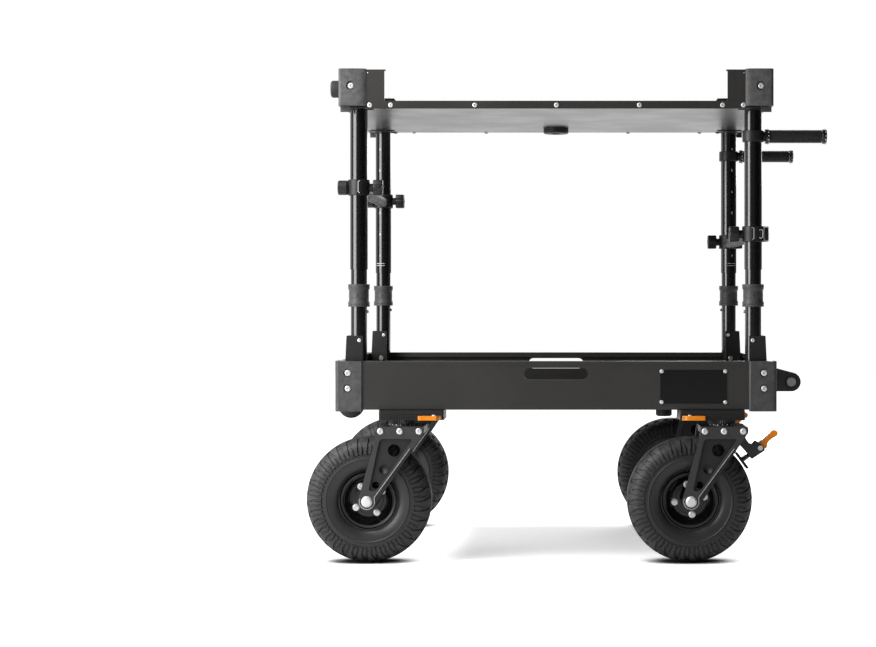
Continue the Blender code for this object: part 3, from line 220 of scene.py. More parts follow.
def span(way, start, end):
    """Two places on one side of the cart's middle, the lower one first. way is that side, -1 or 1."""
    return sorted((way * start, way * end))


def around(x, y, half_x, half_y):
    """The corners of a rectangle about a point."""
    return (x - half_x, y - half_y), (x + half_x, y + half_y)


def cuboid(name, low, high):
    return slab(name, rectangle(low, high), "Z", low[2], high[2])


def choose(*pieces):
    bpy.ops.object.select_all(action="DESELECT")
    for piece in pieces:
        piece.select_set(True)
    bpy.context.view_layer.objects.active = pieces[0]


def apply(piece, kind, **settings):
    """Adds a modifier and applies it."""
    choose(piece)
    step = piece.modifiers.new(kind.lower(), kind)
    for setting, value in settings.items():
        setattr(step, setting, value)
    bpy.ops.object.modifier_apply(modifier=step.name)
    return piece


def combine(piece, operation, tools):
    for tool in tools:
        apply(piece, "BOOLEAN", operation=operation, solver="EXACT", object=tool)
        bpy.data.objects.remove(tool, do_unlink=True)
    return piece


def carve(piece, *tools):
    return combine(piece, "DIFFERENCE", tools)


def fuse(piece, *tools):
    return combine(piece, "UNION", tools)


def drill(piece, radius, low, high, along, at, steps=28):
    """Cuts a round hole, from low to high along an axis through a point."""
    return carve(piece, lathe("hole", rod(radius, low, high), steps, along, at))


def soften(piece, width, segments=2, angle=40):
    """Rounds the edges that are sharper than an angle."""
    limit = {"limit_method": "ANGLE", "angle_limit": math.radians(angle), "miter_outer": "MITER_ARC"}
    return apply(piece, "BEVEL", width=width, segments=segments, harden_normals=False, **limit)


def pick_faces(test):
    """In edit mode, selects the faces that pass a test."""
    bpy.ops.mesh.select_mode(type="FACE")
    bpy.ops.mesh.select_all(action="DESELECT")
    mesh = bmesh.from_edit_mesh(bpy.context.object.data)
    for face in mesh.faces:
        if test(face):
            face.select_set(True)
    mesh.select_flush_mode()
    bmesh.update_edit_mesh(bpy.context.object.data)


def edit(piece):
    choose(piece)
    bpy.ops.object.mode_set(mode="EDIT")


def leave():
    bpy.ops.object.mode_set(mode="OBJECT")


def duplicate(piece, name, place):
    """A copy of a finished piece, moved or turned by a matrix, with its own mesh."""
    choose(piece)
    bpy.ops.object.duplicate()
    twin = bpy.context.object
    twin.name = twin.data.name = name
    twin.matrix_world = place
    bpy.ops.object.transform_apply(location=True, rotation=True, scale=True)
    if place.determinant() < 0:
        edit(twin)
        close_shell()
    return twin


def across(side, row):
    """The place of a copy in another corner, for a piece that was made for the right end's back corner."""
    middle = Matrix.Translation((MIDDLE_X, 0, 0))
    return middle @ Matrix.Diagonal((side, row, 1, 1)) @ middle.inverted()


def facing(at, way):
    """The place of a copy whose own +Z is turned to face a way."""
    return Matrix.Translation(at) @ Vector(way).to_track_quat("Z", "Y").to_matrix().to_4x4()


def join(name, *pieces):
    choose(*pieces)
    if len(pieces) > 1:
        bpy.ops.object.join()
    joined = bpy.context.object
    joined.name = joined.data.name = name
    return joined


def scatter(master, name, places):
    """Copies of one small piece at several places, joined into one object."""
    copies = [duplicate(master, f"{name}_{i}", place) for i, place in enumerate(places)]
    return join(name, *copies)


def discard(*pieces):
    for piece in pieces:
        bpy.data.objects.remove(piece, do_unlink=True)


def dress(piece, finish, body, *nodes, angle=32, even=False):
    """Gives a piece its shading and finish, the body that it rides on and the solids that it stands for."""
    choose(piece)
    bpy.ops.object.shade_smooth_by_angle(angle=math.radians(angle))
    if even:
        apply(piece, "WEIGHTED_NORMAL", keep_sharp=True)
    piece.data.materials.clear()
    piece.data.materials.append(finish.material)
    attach(piece, body)
    if nodes:
        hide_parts(*nodes)
    return piece


# Finishes
def grey(level):
    """A grey as it shows on a screen, from 0 to 255, turned into the amount of light."""
    return tint(level, level, level)


def tint(red, green, blue):
    light = [((v / 255 + 0.055) / 1.055) ** 2.4 if v > 10 else v / 255 / 12.92 for v in (red, green, blue)]
    return (*light, 1.0)


def greys(low, high):
    return grey(low), grey(high)


class Value:
    """A socket's value in a finish. Sums and products of values add the Math nodes that they need."""

    def __init__(self, graph, socket):
        self.graph = graph
        self.socket = socket

    def __add__(self, other):
        return self.graph.math("ADD", self, other)

    def __rsub__(self, other):
        return self.graph.math("SUBTRACT", other, self)

    def __mul__(self, other):
        return self.graph.math("MULTIPLY", self, other)

    __radd__ = __add__
    __rmul__ = __mul__


class Graph:
    """A node tree that is written as expressions."""

    def __init__(self, tree):
        self.tree = tree

    def node(self, kind, settings, inputs, output=0):
        made = self.tree.nodes.new(kind)
        for setting, value in settings.items():
            setattr(made, setting, value)
        for socket, value in inputs.items():
            if isinstance(value, Value):
                self.tree.links.new(value.socket, made.inputs[socket])
            else:
                made.inputs[socket].default_value = value
        return Value(self, made.outputs[output])

    def math(self, operation, a, b=0.0):
        return self.node("ShaderNodeMath", {"operation": operation}, {0: a, 1: b})

    def vector(self, operation, a, b=(0, 0, 0), output=0):
        return self.node("ShaderNodeVectorMath", {"operation": operation}, {0: a, 1: b}, output)

    def step(self, value, low, high, to_low=0.0, to_high=1.0):
        """Runs smoothly from one number to another as a value passes from low to high."""
        inputs = {"Value": value, 1: low, 2: high, 3: to_low, 4: to_high}
        return self.node("ShaderNodeMapRange", {"interpolation_type": "SMOOTHSTEP"}, inputs)

    def mix(self, share, low, high):
        return self.node("ShaderNodeMix", {"data_type": "RGBA"}, {0: share, 6: low, 7: high}, 2)

    def split(self, vector, axis):
        return self.node("ShaderNodeSeparateXYZ", {}, {0: vector}, axis)

    def ray(self, kind):
        return self.node("ShaderNodeLightPath", {}, {}, f"Is {kind} Ray")


class Finish(Graph):
    """A procedural material. Patterns lie on Object coordinates, in metres, round a chosen centre."""

    def __init__(self, name, slot, centre=(0, 0, 0), **constants):
        self.material = bpy.data.materials.new(name)
        self.material.use_nodes = True
        super().__init__(self.material.node_tree)
        self.shader = self.tree.nodes["Principled BSDF"]
        self.slot = slot
        for socket, value in constants.items():
            self.shader.inputs[socket.replace("_", " ").title().replace("Ior", "IOR")].default_value = value
        self.place = self.vector("SUBTRACT", self.node("ShaderNodeTexCoord", {}, {}, "Object"), centre)

    def noise(self, scale, detail=2.0, roughness=0.5):
        inputs = {"Vector": self.place, "Scale": scale, "Detail": detail, "Roughness": roughness}
        return self.node("ShaderNodeTexNoise", {}, inputs)

    def bump(self, height, distance, under=None):
        inputs = {"Height": height, "Distance": distance, "Strength": 1.0}
        if under:
            inputs["Normal"] = under
        return self.node("ShaderNodeBump", {}, inputs)

    def set(self, **sockets):
        for socket, value in sockets.items():
            self.tree.links.new(value.socket, self.shader.inputs[socket.replace("_", " ").title()])
        return self


def powder_coat():
    """Dark grey powder coat: a fine orange peel and a faint cloudiness."""
    coat = Finish("powder_coat", "tray_powder_coat")
    cloud = coat.noise(7, 3)
    speck = coat.noise(1400, 2)
    colour = coat.mix(cloud * 0.5 + speck * 0.5, tint(45, 44, 43), tint(54, 53, 51))
    peel = coat.bump(coat.noise(520, 2), 0.00005)
    fine = coat.bump(coat.noise(2100, 1), 0.00002, peel)
    return coat.set(base_color=colour, roughness=coat.step(cloud, 0.3, 0.7, 0.30, 0.38), normal=fine)


def moulded_nylon(name, low, high):
    """Grey glass-filled nylon with the mottling that such mouldings have."""
    nylon = Finish(name, "moulded_grey")
    mottle = nylon.noise(70, 5, 0.7)
    speck = nylon.noise(900, 2)
    colour = nylon.mix(nylon.step(mottle, 0.35, 0.68) * 0.75 + speck * 0.25, *greys(low, high))
    grain = nylon.bump(speck, 0.00010)
    return nylon.set(base_color=colour, roughness=nylon.step(mottle, 0.3, 0.7, 0.46, 0.60), normal=grain)


def metal(name, slot, colours, roughness, spread=0.10, metallic=0.0, scale=500, grain=0.00002, shine=0.5):
    """A metal or paint with a slight unevenness in colour and sheen."""
    made = Finish(name, slot, metallic=metallic, specular_ior_level=shine)
    cloud = made.noise(24, 3)
    fine = made.noise(scale, 3, 0.6)
    shade = made.mix(cloud * 0.5 + fine * 0.5, *colours)
    sheen = made.step(fine, 0.3, 0.7, roughness, roughness + spread)
    return made.set(base_color=shade, roughness=sheen, normal=made.bump(fine, grain))


def rubber(name, slot, low, high, roughness, scale=700, grain=0.00005):
    made = Finish(name, slot)
    cloud = made.noise(30, 4, 0.6)
    fine = made.noise(scale, 3, 0.6)
    shade = made.mix(made.step(cloud, 0.3, 0.7) * 0.6 + fine * 0.4, *greys(low, high))
    sheen = made.step(cloud, 0.3, 0.7, roughness, roughness + 0.14)
    return made.set(base_color=shade, roughness=sheen, normal=made.bump(fine, grain))


def tyre_rubber(name, centre):
    """Tyre rubber round a wheel's centre: dusty tread, cleaner walls and a smoother bead by the rim."""
    made = Finish(name, "tyre_rubber", centre)
    radius = made.vector("LENGTH", made.vector("MULTIPLY", made.place, (1, 0, 1)), output="Value")
    cloud = made.noise(40, 4, 0.65)
    fine = made.noise(900, 3, 0.6)
    dust = made.step(radius, 0.085, 0.135) * made.step(cloud, 0.35, 0.65)
    shade = made.mix(dust * 0.7 + fine * 0.3, *greys(32, 64))
    sheen = made.step(radius, 0.082, 0.096, 0.34, 0.50) + cloud * 0.12
    return made.set(base_color=shade, roughness=sheen, normal=made.bump(fine, 0.00005))


POWDER = powder_coat()
BLOCK_GREY = moulded_nylon("block_grey_nylon", 64, 88)
GUARD_GREY = moulded_nylon("guard_grey_nylon", 58, 78)
ANODISED = {"scale": 90, "grain": 0.000001, "shine": 0.8}
BLACK_ANODISE = metal("gloss_black_anodise", "anodised_black", greys(10, 14), 0.17, 0.03, **ANODISED)
COLLAR = metal("satin_collar_grey", "collar_grey", greys(58, 72), 0.46)
BRACKET = metal("satin_bracket_black", "bracket_black", greys(20, 30), 0.38)
RAIL = metal("anodised_rail_black", "rail_black", greys(14, 22), 0.40, scale=600)
FORK = metal("fork_black", "fork_black", greys(43, 56), 0.42, 0.12, scale=420, grain=0.00004)
# Painted shade: the pockets' floors are coloured darker than the fork to stand for the shade in the
# recesses.
POCKET_PAINTED_SHADE = metal("fork_pocket_painted_shade", "fork_black", greys(18, 27), 0.50, 0.12, scale=420, grain=0.00004)
# Black for the brake shoe's plate, and painted shade on the fork plates beside their edge highlight.
BLACK_PLATE_AND_SHADE = metal("black_plate_and_painted_shade", "fork_black", greys(12, 20), 0.40, scale=420, grain=0.00003)
GLOSS = metal("gloss_rim_black", "rim_gloss_black", greys(7, 11), 0.10, 0.06, scale=300, grain=0.000008)
PLATE_BLACK = metal("name_plate_black", "rim_gloss_black", greys(6, 10), 0.20, 0.05, scale=300)
GRIP = rubber("grip_rubber", "black_rubber", 24, 38, 0.55)
PLASTIC = rubber("matt_black_plastic", "black_plastic", 15, 25, 0.38, 900, 0.00003)
YELLOW_ORANGE = (tint(255, 158, 22), tint(242, 128, 8))
ORANGE = metal("orange_anodise", "orange_anodised", YELLOW_ORANGE, 0.30, metallic=0.1, scale=700)
ZINC = metal("bright_zinc", None, greys(240, 226), 0.30, metallic=0.5, scale=900)
STEEL = metal("dull_steel", None, greys(184, 158), 0.34, 0.12, metallic=0.7, scale=900)
# Bright metal for the crossbars' wire clips, and a painted highlight along the fork plates' right edges.
CLIP_AND_HIGHLIGHT = metal("bright_clip_wire_and_painted_highlight", None, greys(222, 204), 0.36, metallic=0.15, scale=900)
MARKS = metal("scale_mark_white", None, greys(226, 206), 0.5, scale=900)


# Screws
SOCKET_DEPTH = 0.0017


def make_screw(name, radius, height, socket=True):
    """A domed head with a hexagon socket in it, standing on the plane through its origin."""
    rim = [(0, -0.001), (radius, -0.001), (radius, height * 0.35)]
    dome = [(radius * 0.82, height * 0.86), (0, height)]
    head = lathe(name, eased(rim + dome, radius * 0.14, closed=False, steps=2), 24)
    if socket:
        hexagon = circle((0, 0), radius * 0.46, 6)
        carve(head, slab("socket", hexagon, "Z", height - SOCKET_DEPTH, height * 2))
    return head


SCREWS = {
    "ball": make_screw("ball_master", 0.0012, 0.0012, socket=False),
    "rivet": make_screw("rivet_master", 0.0043, 0.0016, socket=False),
    "rim": make_screw("rim_screw_master", 0.0054, 0.0018),
    "small": make_screw("small_screw_master", 0.0042, 0.0018),
    "middle": make_screw("middle_screw_master", 0.0066, 0.0024),
    "bolt": make_screw("bolt_master", 0.0070, 0.0034),
    "wheel": make_screw("wheel_bolt_master", 0.0082, 0.0040),
}


def screws(name, size, body, places, finish=None):
    """places is a list of points with the way that each head faces."""
    made = scatter(SCREWS[size], name, [facing(at, way) for at, way in places])
    return dress(made, finish or ZINC, body)


# The tray
def make_tray():
    """One sheet, thickened when drawn: floor, walls, the hem turned inward and its lip turned down."""
    low, high = TRAY_LOW, TRAY_HIGH
    outline = on_plane(rounded_rectangle(low.xy, high.xy, 0.006, 5), "Z", low.z)
    begin("tray_sheet", outline[0])
    trace(outline)
    bpy.ops.mesh.select_all(action="SELECT")
    bpy.ops.mesh.edge_face_add()
    bpy.ops.mesh.extrude_edges_move(TRANSFORM_OT_translate={"value": (0, 0, high.z - low.z)})
    hem = 0.0125
    length, depth = high.x - low.x, high.y - low.y
    bpy.ops.mesh.extrude_edges_move(TRANSFORM_OT_translate={"value": (0, 0, 0)})
    narrower = ((length - 2 * hem) / length, (depth - 2 * hem) / depth, 1)
    bpy.ops.transform.resize(value=narrower, center_override=(MIDDLE_X, 0, high.z))
    bpy.ops.mesh.extrude_edges_move(TRANSFORM_OT_translate={"value": (0, 0, -hem)})
    tray = close_shell()
    apply(tray, "SOLIDIFY", thickness=SHEET, offset=-1, use_even_offset=True)
    soften(tray, 0.0016, 3, 50)
    slot = rounded_rectangle(*around(MIDDLE_X, high.z - 0.0275, 0.0685, 0.0127), 0.0124, 10)
    for row in ROWS.values():
        carve(tray, slab("slot", slot, "Y", row * (high.y - 0.006), row * (high.y + 0.003)))
        y_low, y_high = span(row, high.y - 0.0004, high.y + 0.003)
        carve(tray, cuboid("crease", (low.x + 0.03, y_low, 0.4235), (high.x - 0.03, y_high, 0.4241)))
    for row_name in ROWS:
        make_wheel_well(tray, row_name)
    dress(tray, POWDER, "tray", "tray", even=True)


def make_wheel_well(tray, row_name):
    """A transport wheel, and the hooded well it stands in, open below and at the tray's end."""
    axle = JOINT_AT[f"{row_name}_transport_wheel_spin"]
    reach, half = 0.032, 0.015
    low = TRAY_LOW
    hood_low = (low.x + SHEET / 2, axle.y - half - SHEET, low.z + SHEET / 2)
    hood = cuboid("hood", hood_low, (axle.x + reach + SHEET, axle.y + half + SHEET, axle.z + reach + SHEET))
    fuse(tray, soften(hood, 0.002, 2))
    well_low = (low.x - SHEET, axle.y - half, low.z - SHEET)
    carve(tray, cuboid("well", well_low, (axle.x + reach, axle.y + half, axle.z + reach)))
    wheel = [(0, -0.018), (0.004, -0.018), (0.004, -0.012), (0.013, -0.012), (0.015, -0.0105)]
    wheel += [(0.0245, -0.0105), (0.0275, -0.009), (0.029, -0.0045)]
    made = lathe(f"transport_wheel_{row_name}_tyre", mirrored(wheel), 40, "Y", axle)
    dress(made, GRIP, f"{row_name}_transport_wheel", f"transport_wheel_{row_name}")


def make_name_plate():
    """The bare plate on the front wall: an engraved border and divider, and a rivet in each corner."""
    face, line, margin, depth = TRAY_LOW.y, 0.0005, 0.0042, 0.0009
    low, high = (0.1997, 0.3417), (0.3427, 0.4141)

    def inside(inset):
        return (low[0] + inset, low[1] + inset), (high[0] - inset, high[1] - inset)

    plate = slab("name_plate", rounded_rectangle(low, high, 0.0015, 3), "Y", face, face - 0.0012)
    border = slab("border", rectangle(*inside(margin)), "Y", face - depth, face - 0.002)
    carve(border, slab("core", rectangle(*inside(margin + line)), "Y", face - 0.003, face))
    divider_x = low[0] + (high[0] - low[0]) * 0.49
    divider = rectangle((divider_x, low[1] + 0.012), (divider_x + line, high[1] - 0.012))
    carve(plate, border, slab("divider", divider, "Y", face - depth, face - 0.002))
    dress(plate, PLATE_BLACK, "tray")
    (x0, z0), (x1, z1) = inside(0.0030)
    rivets = [((x, face - 0.0011, z), (0, -1, 0)) for x in (x0, x1) for z in (z0, z1)]
    screws("name_plate_rivets", "rivet", "tray", rivets)


def make_protectors():
    """Moulded guards round the tray's corners: a wall with sunk screw seats, and a flap under the floor."""
    wall, reach, sink = 0.0032, 0.060, 0.0024
    x0, y0 = TRAY_HIGH.x + GAP, TRAY_HIGH.y + GAP
    x1, y1 = x0 + wall, y0 + wall
    x_end, y_end = x1 - reach, y1 - reach
    low, high = TRAY_LOW.z - GAP - wall, TRAY_HIGH.z
    outer = arc((x1 - 0.008, y1 - 0.008), 0.008, 0, 90, 8)
    inner = arc((x0 - 0.0048, y0 - 0.0048), 0.0048, 90, 0, 6)
    outline = [(x1, y_end + wall)] + outer + [(x_end + wall, y1), (x_end, y0)] + inner + [(x0, y_end)]
    guard = slab("guard_master", outline, "Z", low, high)
    flap = [(x1 - 0.0004, y_end + 0.0112)] + arc((x1 - 0.0084, y1 - 0.0084), 0.008, 0, 90, 6)
    fuse(guard, slab("flap", flap + [(x_end + 0.0112, y1 - 0.0004)], "Z", low, low + wall))
    seat = [(0, -sink), (0.0090, -sink), (0.0096, 0.001), (0, 0.001)]
    seats = []
    for z in (0.3740, 0.4074):
        seats.append((Vector((x1, y1 - 0.0275, z)), Vector((1, 0, 0))))
        seats.append((Vector((x1 - 0.0275, y1, z)), Vector((0, 1, 0))))
    for at, way in seats:
        carve(guard, lathe("seat", seat, 32, "X" if way.x else "Y", at))
    soften(guard, 0.0007, 2)
    for side_name, row_name in CORNERS:
        side, row = SIDES[side_name], ROWS[row_name]
        name, place = f"tray_corner_{side_name}_{row_name}", across(side, row)
        dress(duplicate(guard, f"{name}_guard", place), GUARD_GREY, "tray", name, even=True)
        heads = [(place @ (at - way * sink), (way.x * side, way.y * row, 0)) for at, way in seats]
        screws(f"{name}_screws", "middle", "tray", heads)
    discard(guard)


# The caster rails
def make_rails():
    """Black aluminium rails under the tray, whose ends widen into the casters' mounts."""
    for side_name, side in SIDES.items():
        low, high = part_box(f"caster_rail_{side_name}")
        swivel_x = JOINT_AT[f"{side_name}_front_swivel_turn"].x
        outboard, inboard = swivel_x + side * 0.048, swivel_x - side * 0.092
        narrow = outboard - side * 0.089
        step_y = high.y - 0.095
        half = [(outboard, high.y), (inboard, high.y), (inboard, step_y), (narrow, step_y)]
        outline = eased(half + [(x, -y) for x, y in reversed(half)], 0.004)
        rail = slab(f"caster_rail_{side_name}_bar", outline, "Z", low.z, high.z)
        middle_x = outboard - side * 0.0445
        for i in range(5):
            y = step_y * (2 * i - 4) / 5
            window = rounded_rectangle(*around(middle_x, y, 0.027, 0.030), 0.009)
            carve(rail, slab("window", window, "Z", low.z - 0.002, low.z + 0.008))
        x_low, x_high = sorted((outboard + side * 0.002, inboard - side * 0.002))
        for row_name, row in ROWS.items():
            for level in (0.0058, 0.0125):
                groove_low, groove_high = span(row, high.y - 0.0008, high.y + 0.002)
                z = low.z + level
                carve(rail, cuboid("groove", (x_low, groove_low, z), (x_high, groove_high, z + 0.0008)))
            pivot = JOINT_AT[f"{side_name}_{row_name}_release_swing"]
            wide, deep = 0.0075, 0.02
            near, far = pivot.y - row * wide, pivot.y + row * deep
            notch = rectangle((pivot.x - wide, near), (pivot.x + wide, far))
            carve(rail, slab("notch", notch, "Z", low.z - 0.002, pivot.z + 0.0051))
            fuse(rail, lathe("pin", rod(0.0022, -0.0048, 0.0072), 16, "Z", pivot))
        soften(rail, 0.0007, 2)
        dress(rail, RAIL, "tray", f"caster_rail_{side_name}", even=True)
        make_rail_screws(side_name, middle_x, low.z, step_y)
        for row_name, row in ROWS.items():
            make_release_lever(side_name, row_name, side, row)


def make_rail_screws(side_name, middle_x, low_z, step_y):
    """The screws along the rail's underside, on the webs between its windows."""
    heads = []
    for i in range(4):
        y = step_y * (2 * i - 3) / 5
        heads += [((middle_x + x, y, low_z), (0, 0, -1)) for x in (-0.028, 0.028)]
    screws(f"caster_rail_{side_name}_screws", "small", "tray", heads, STEEL)


def make_release_lever(side_name, row_name, side, row):
    """An orange lever: a knuckle round its pin, and a thumb arm with a silver button on it."""
    name = f"{side_name}_{row_name}"
    body, pivot = f"{name}_release", JOINT_AT[f"{name}_release_swing"]
    outline = arc((0, 0), 0.0052, 90, 360, 12) + [(0.0052, 0.0055), (0.046, 0.0055), (0.046, 0.0096)]
    outline += [(0.0432, 0.0120), (0.0060, 0.0120), (0.0026, 0.0085)]
    placed = [(pivot.x + side * x, pivot.y + row * y) for x, y in outline]
    lever = slab(f"release_lever_{name}_arm", placed, "Z", pivot.z - 0.0048, pivot.z + 0.0048)
    drill(lever, 0.0025, -0.01, 0.01, "Z", pivot, 16)
    y_low, y_high = sorted((pivot.y + row * 0.0113, pivot.y + row * 0.013))
    for i in range(4):
        x = pivot.x + side * (0.030 + 0.0038 * i)
        gap_low = (x - 0.0006, y_low, pivot.z - 0.006)
        carve(lever, cuboid("rib_gap", gap_low, (x + 0.0006, y_high, pivot.z + 0.006)))
    soften(lever, 0.0008, 2)
    dress(lever, ORANGE, body, f"release_lever_{name}", even=True)
    button = [(0, 0), (0.0042, 0), (0.0042, 0.0016), (0.0034, 0.0024), (0, 0.0024)]
    at = (pivot.x + side * 0.012, pivot.y + row * 0.0080, pivot.z + 0.0047)
    dress(lathe(f"release_button_{name}", button, 20, "Z", at), ZINC, body)
    eye, at = turned(rod(0.0030, 0.0, 0.0020), row), (pivot.x, pivot.y + row * 0.0048, pivot.z)
    dress(lathe(f"release_eyelet_{name}", eye, 20, "Y", at), STEEL, body)


def make_feet():
    for row_name in ROWS:
        low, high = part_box(f"rubber_foot_{row_name}")
        at = ((low.x + high.x) / 2, (low.y + high.y) / 2, high.z)
        tall = high.z - low.z
        profile = [(0, 0.003 - tall), (0.006, 0.003 - tall), (0.0065, -tall), (0.015, -tall)]
        profile += [(0.018, 0.003 - tall), (0.0175, 0), (0, 0)]
        foot = lathe(f"rubber_foot_{row_name}_pad", eased(profile, 0.001, False), 40, "Z", at)
        dress(foot, GRIP, "tray", f"rubber_foot_{row_name}")


def tangent_angle(point, centre, radius):
    """The angle, in degrees, at which a line from a point touches a circle on its upper side."""
    away = Vector(point) - Vector(centre)
    return math.degrees(math.atan2(away.y, away.x) - math.acos(radius / away.length))


def make_carry_handle():
    """Two tear-shaped ears on the right end with a tube between them, whose ends show as pale discs."""
    foot_x = TRAY_HIGH.x + GAP
    axis = (TRAY_HIGH.x + 0.0465, 0.384)
    centre = (axis[0], 0, axis[1])
    radius, top_z = 0.021, 0.418
    low_z = axis[1] - radius
    start = tangent_angle((foot_x, top_z), axis, radius)
    outline = [(foot_x, top_z), (foot_x, low_z)] + arc(axis, radius, -90, start, 16)
    ears = []
    for row in ROWS.values():
        ear = slab("ear", outline, "Y", *span(row, 0.205, 0.215))
        y_low, y_high = span(row, 0.218, 0.179)
        fuse(ear, cuboid("foot", (foot_x, y_low, low_z - 0.003), (foot_x + 0.004, y_high, top_z + 0.003)))
        drill(ear, 0.0137, -0.1, 0.1, "Y", (axis[0], row * 0.21, axis[1]), 32)
        ears.append(soften(ear, 0.0008, 2))
    dress(join("carry_handle_ears", *ears), BLACK_ANODISE, "tray", "carry_handle", even=True)
    pipe = ring([(0.0108, -0.218), (0.0136, -0.218), (0.0136, 0.218), (0.0108, 0.218)])
    tube = lathe("carry_handle_tube", pipe, 40, "Y", centre)
    dress(tube, BLACK_ANODISE, "tray", "carry_handle")
    cap = [(0, 0.212), (0.0106, 0.212), (0.0106, 0.2165), (0.0098, 0.2176), (0, 0.2176)]
    caps = [lathe("cap", turned(cap, row), 32, "Y", centre) for row in ROWS.values()]
    dress(join("carry_handle_bar_ends", *caps), STEEL, "tray")
    foot = foot_x + 0.0038
    heads = [((foot, row * 0.192, z), (1, 0, 0)) for row in ROWS.values() for z in (0.376, 0.405)]
    screws("carry_handle_screws", "small", "tray", heads)


def make_brackets():
    """Folded channels that hold the legs. The web is outboard and the open side faces inward."""
    low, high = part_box("leg_bracket_right_back")
    base, top = low.z, high.z
    inner_half, half, x, y = 0.01775, 0.02075, MIDDLE_X + LEG_X, LEG_Y
    shape = [(0.0248, top), (0.0320, base + 0.002), (-0.022, base + 0.002)]
    shape += [(-0.0105, LEG_PIVOT_Z), (-0.0105, top)]
    bracket = slab("bracket_master", shifted(shape, x, 0), "Y", y - half, y + half)
    foot = rounded_rectangle(*around(x, y, 0.037, 0.030), 0.004)
    fuse(bracket, slab("foot", foot, "Z", base, base + 0.004))
    channel = [(0.0218, top + 0.003), (0.0288, base + 0.004), (-0.064, base + 0.004), (-0.064, top + 0.003)]
    carve(bracket, slab("channel", shifted(channel, x, 0), "Y", y - inner_half, y + inner_half))
    drill(bracket, 0.0043, -0.05, 0.05, "Y", (x + 0.003, y, LEG_PIVOT_Z), 24)
    soften(bracket, 0.0006, 2)
    for side_name, row_name in CORNERS:
        side, row = SIDES[side_name], ROWS[row_name]
        name = f"leg_bracket_{side_name}_{row_name}"
        dress(duplicate(bracket, f"{name}_channel", across(side, row)), BRACKET, "tray", name, even=True)
        leg_x = MIDDLE_X + side * LEG_X
        heads = []
        for way in (-1, 1):
            heads.append(((leg_x - side * 0.003, row * (y + way * half), 0.4775), (0, row * way, 0)))
        for foot_x in (-0.030, 0.0):
            for foot_y in (-0.0255, 0.0255):
                heads.append(((leg_x + side * foot_x, row * (y + foot_y), base + 0.004), (0, 0, 1)))
        screws(f"{name}_screws", "small", "tray", heads)
        stop_x, stop_y = leg_x - side * 0.0105, row * (y - half + 0.0015)
        stops = [((stop_x, stop_y, z), (-side, 0, 0)) for z in (0.458, 0.470)]
        screws(f"{name}_stop_screws", "ball", "tray", stops, PLASTIC)
    discard(bracket)


# The legs
def make_legs():
    for side_name, row_name in CORNERS:
        side, row = SIDES[side_name], ROWS[row_name]
        at = Vector((MIDDLE_X + side * LEG_X, row * LEG_Y, 0))
        make_leg(side_name, row_name, side, at)
        make_collar(side_name, row_name, at)
    for side_name, side in SIDES.items():
        make_scale(side_name, side)
        make_crossbar(side_name, side)


def make_leg(side_name, row_name, side, at):
    """A lower tube that slides in an outer sleeve, and the pivot pin through its rounded end."""
    body = f"{side_name}_legs"
    name = f"leg_tube_{side_name}_{row_name}"
    pivot = Vector((at.x + side * 0.003, at.y, LEG_PIVOT_Z))
    end_radius = 0.02075
    low = LEG_PIVOT_Z - end_radius
    tube = lathe(f"{name}_lower", rod(TUBE_RADIUS, low - 0.003, 0.640), 48, "Z", at)
    wide = 2 * end_radius
    waste = arc((0, 0), end_radius, 180, 360, 20) + [(wide, 0), (wide, -wide), (-wide, -wide), (-wide, 0)]
    carve(tube, slab("waste", shifted(waste, pivot.x, pivot.z), "Y", at.y - wide, at.y + wide))
    dress(tube, BLACK_ANODISE, body, name)
    bore, seam = 0.0150, 0.9800
    sleeve = [(0.01748, 0.6325), (SLEEVE_RADIUS, 0.6312), (SLEEVE_RADIUS, seam)]
    sleeve += [(bore, seam), (bore, 0.645)]
    dress(lathe(f"{name}_sleeve", ring(sleeve), 64, "Z", at), BLACK_ANODISE, body, name)
    # The rim is the sleeve's chamfered top edge in bright steel, partly a painted highlight for the glint
    # along that edge.
    rim = [(bore, seam + 0.0001), (SLEEVE_RADIUS, seam + 0.0001), (SLEEVE_RADIUS - 0.0003, 0.9815)]
    rim += [(0.0180, LEG_TOP_Z), (bore, LEG_TOP_Z)]
    dress(lathe(f"{name}_rim", ring(rim), 56, "Z", at), STEEL, body)
    half = 0.02105
    pin = [(0, -half - 0.0025), (0.0048, -half - 0.0025), (0.006, -half - 0.0016), (0.006, -half)]
    pin.append((0.004, -half))
    dress(lathe(f"{name}_pivot_pin", mirrored(pin), 28, "Y", pivot), STEEL, body)
    button = turned([(0, 0.0168), (0.0034, 0.0168), (0.0034, 0.0200), (0.0026, 0.0210), (0, 0.0214)], -side)
    dress(lathe(f"{name}_stop_button", button, 20, "X", (at.x, at.y, 0.5395)), STEEL, body)


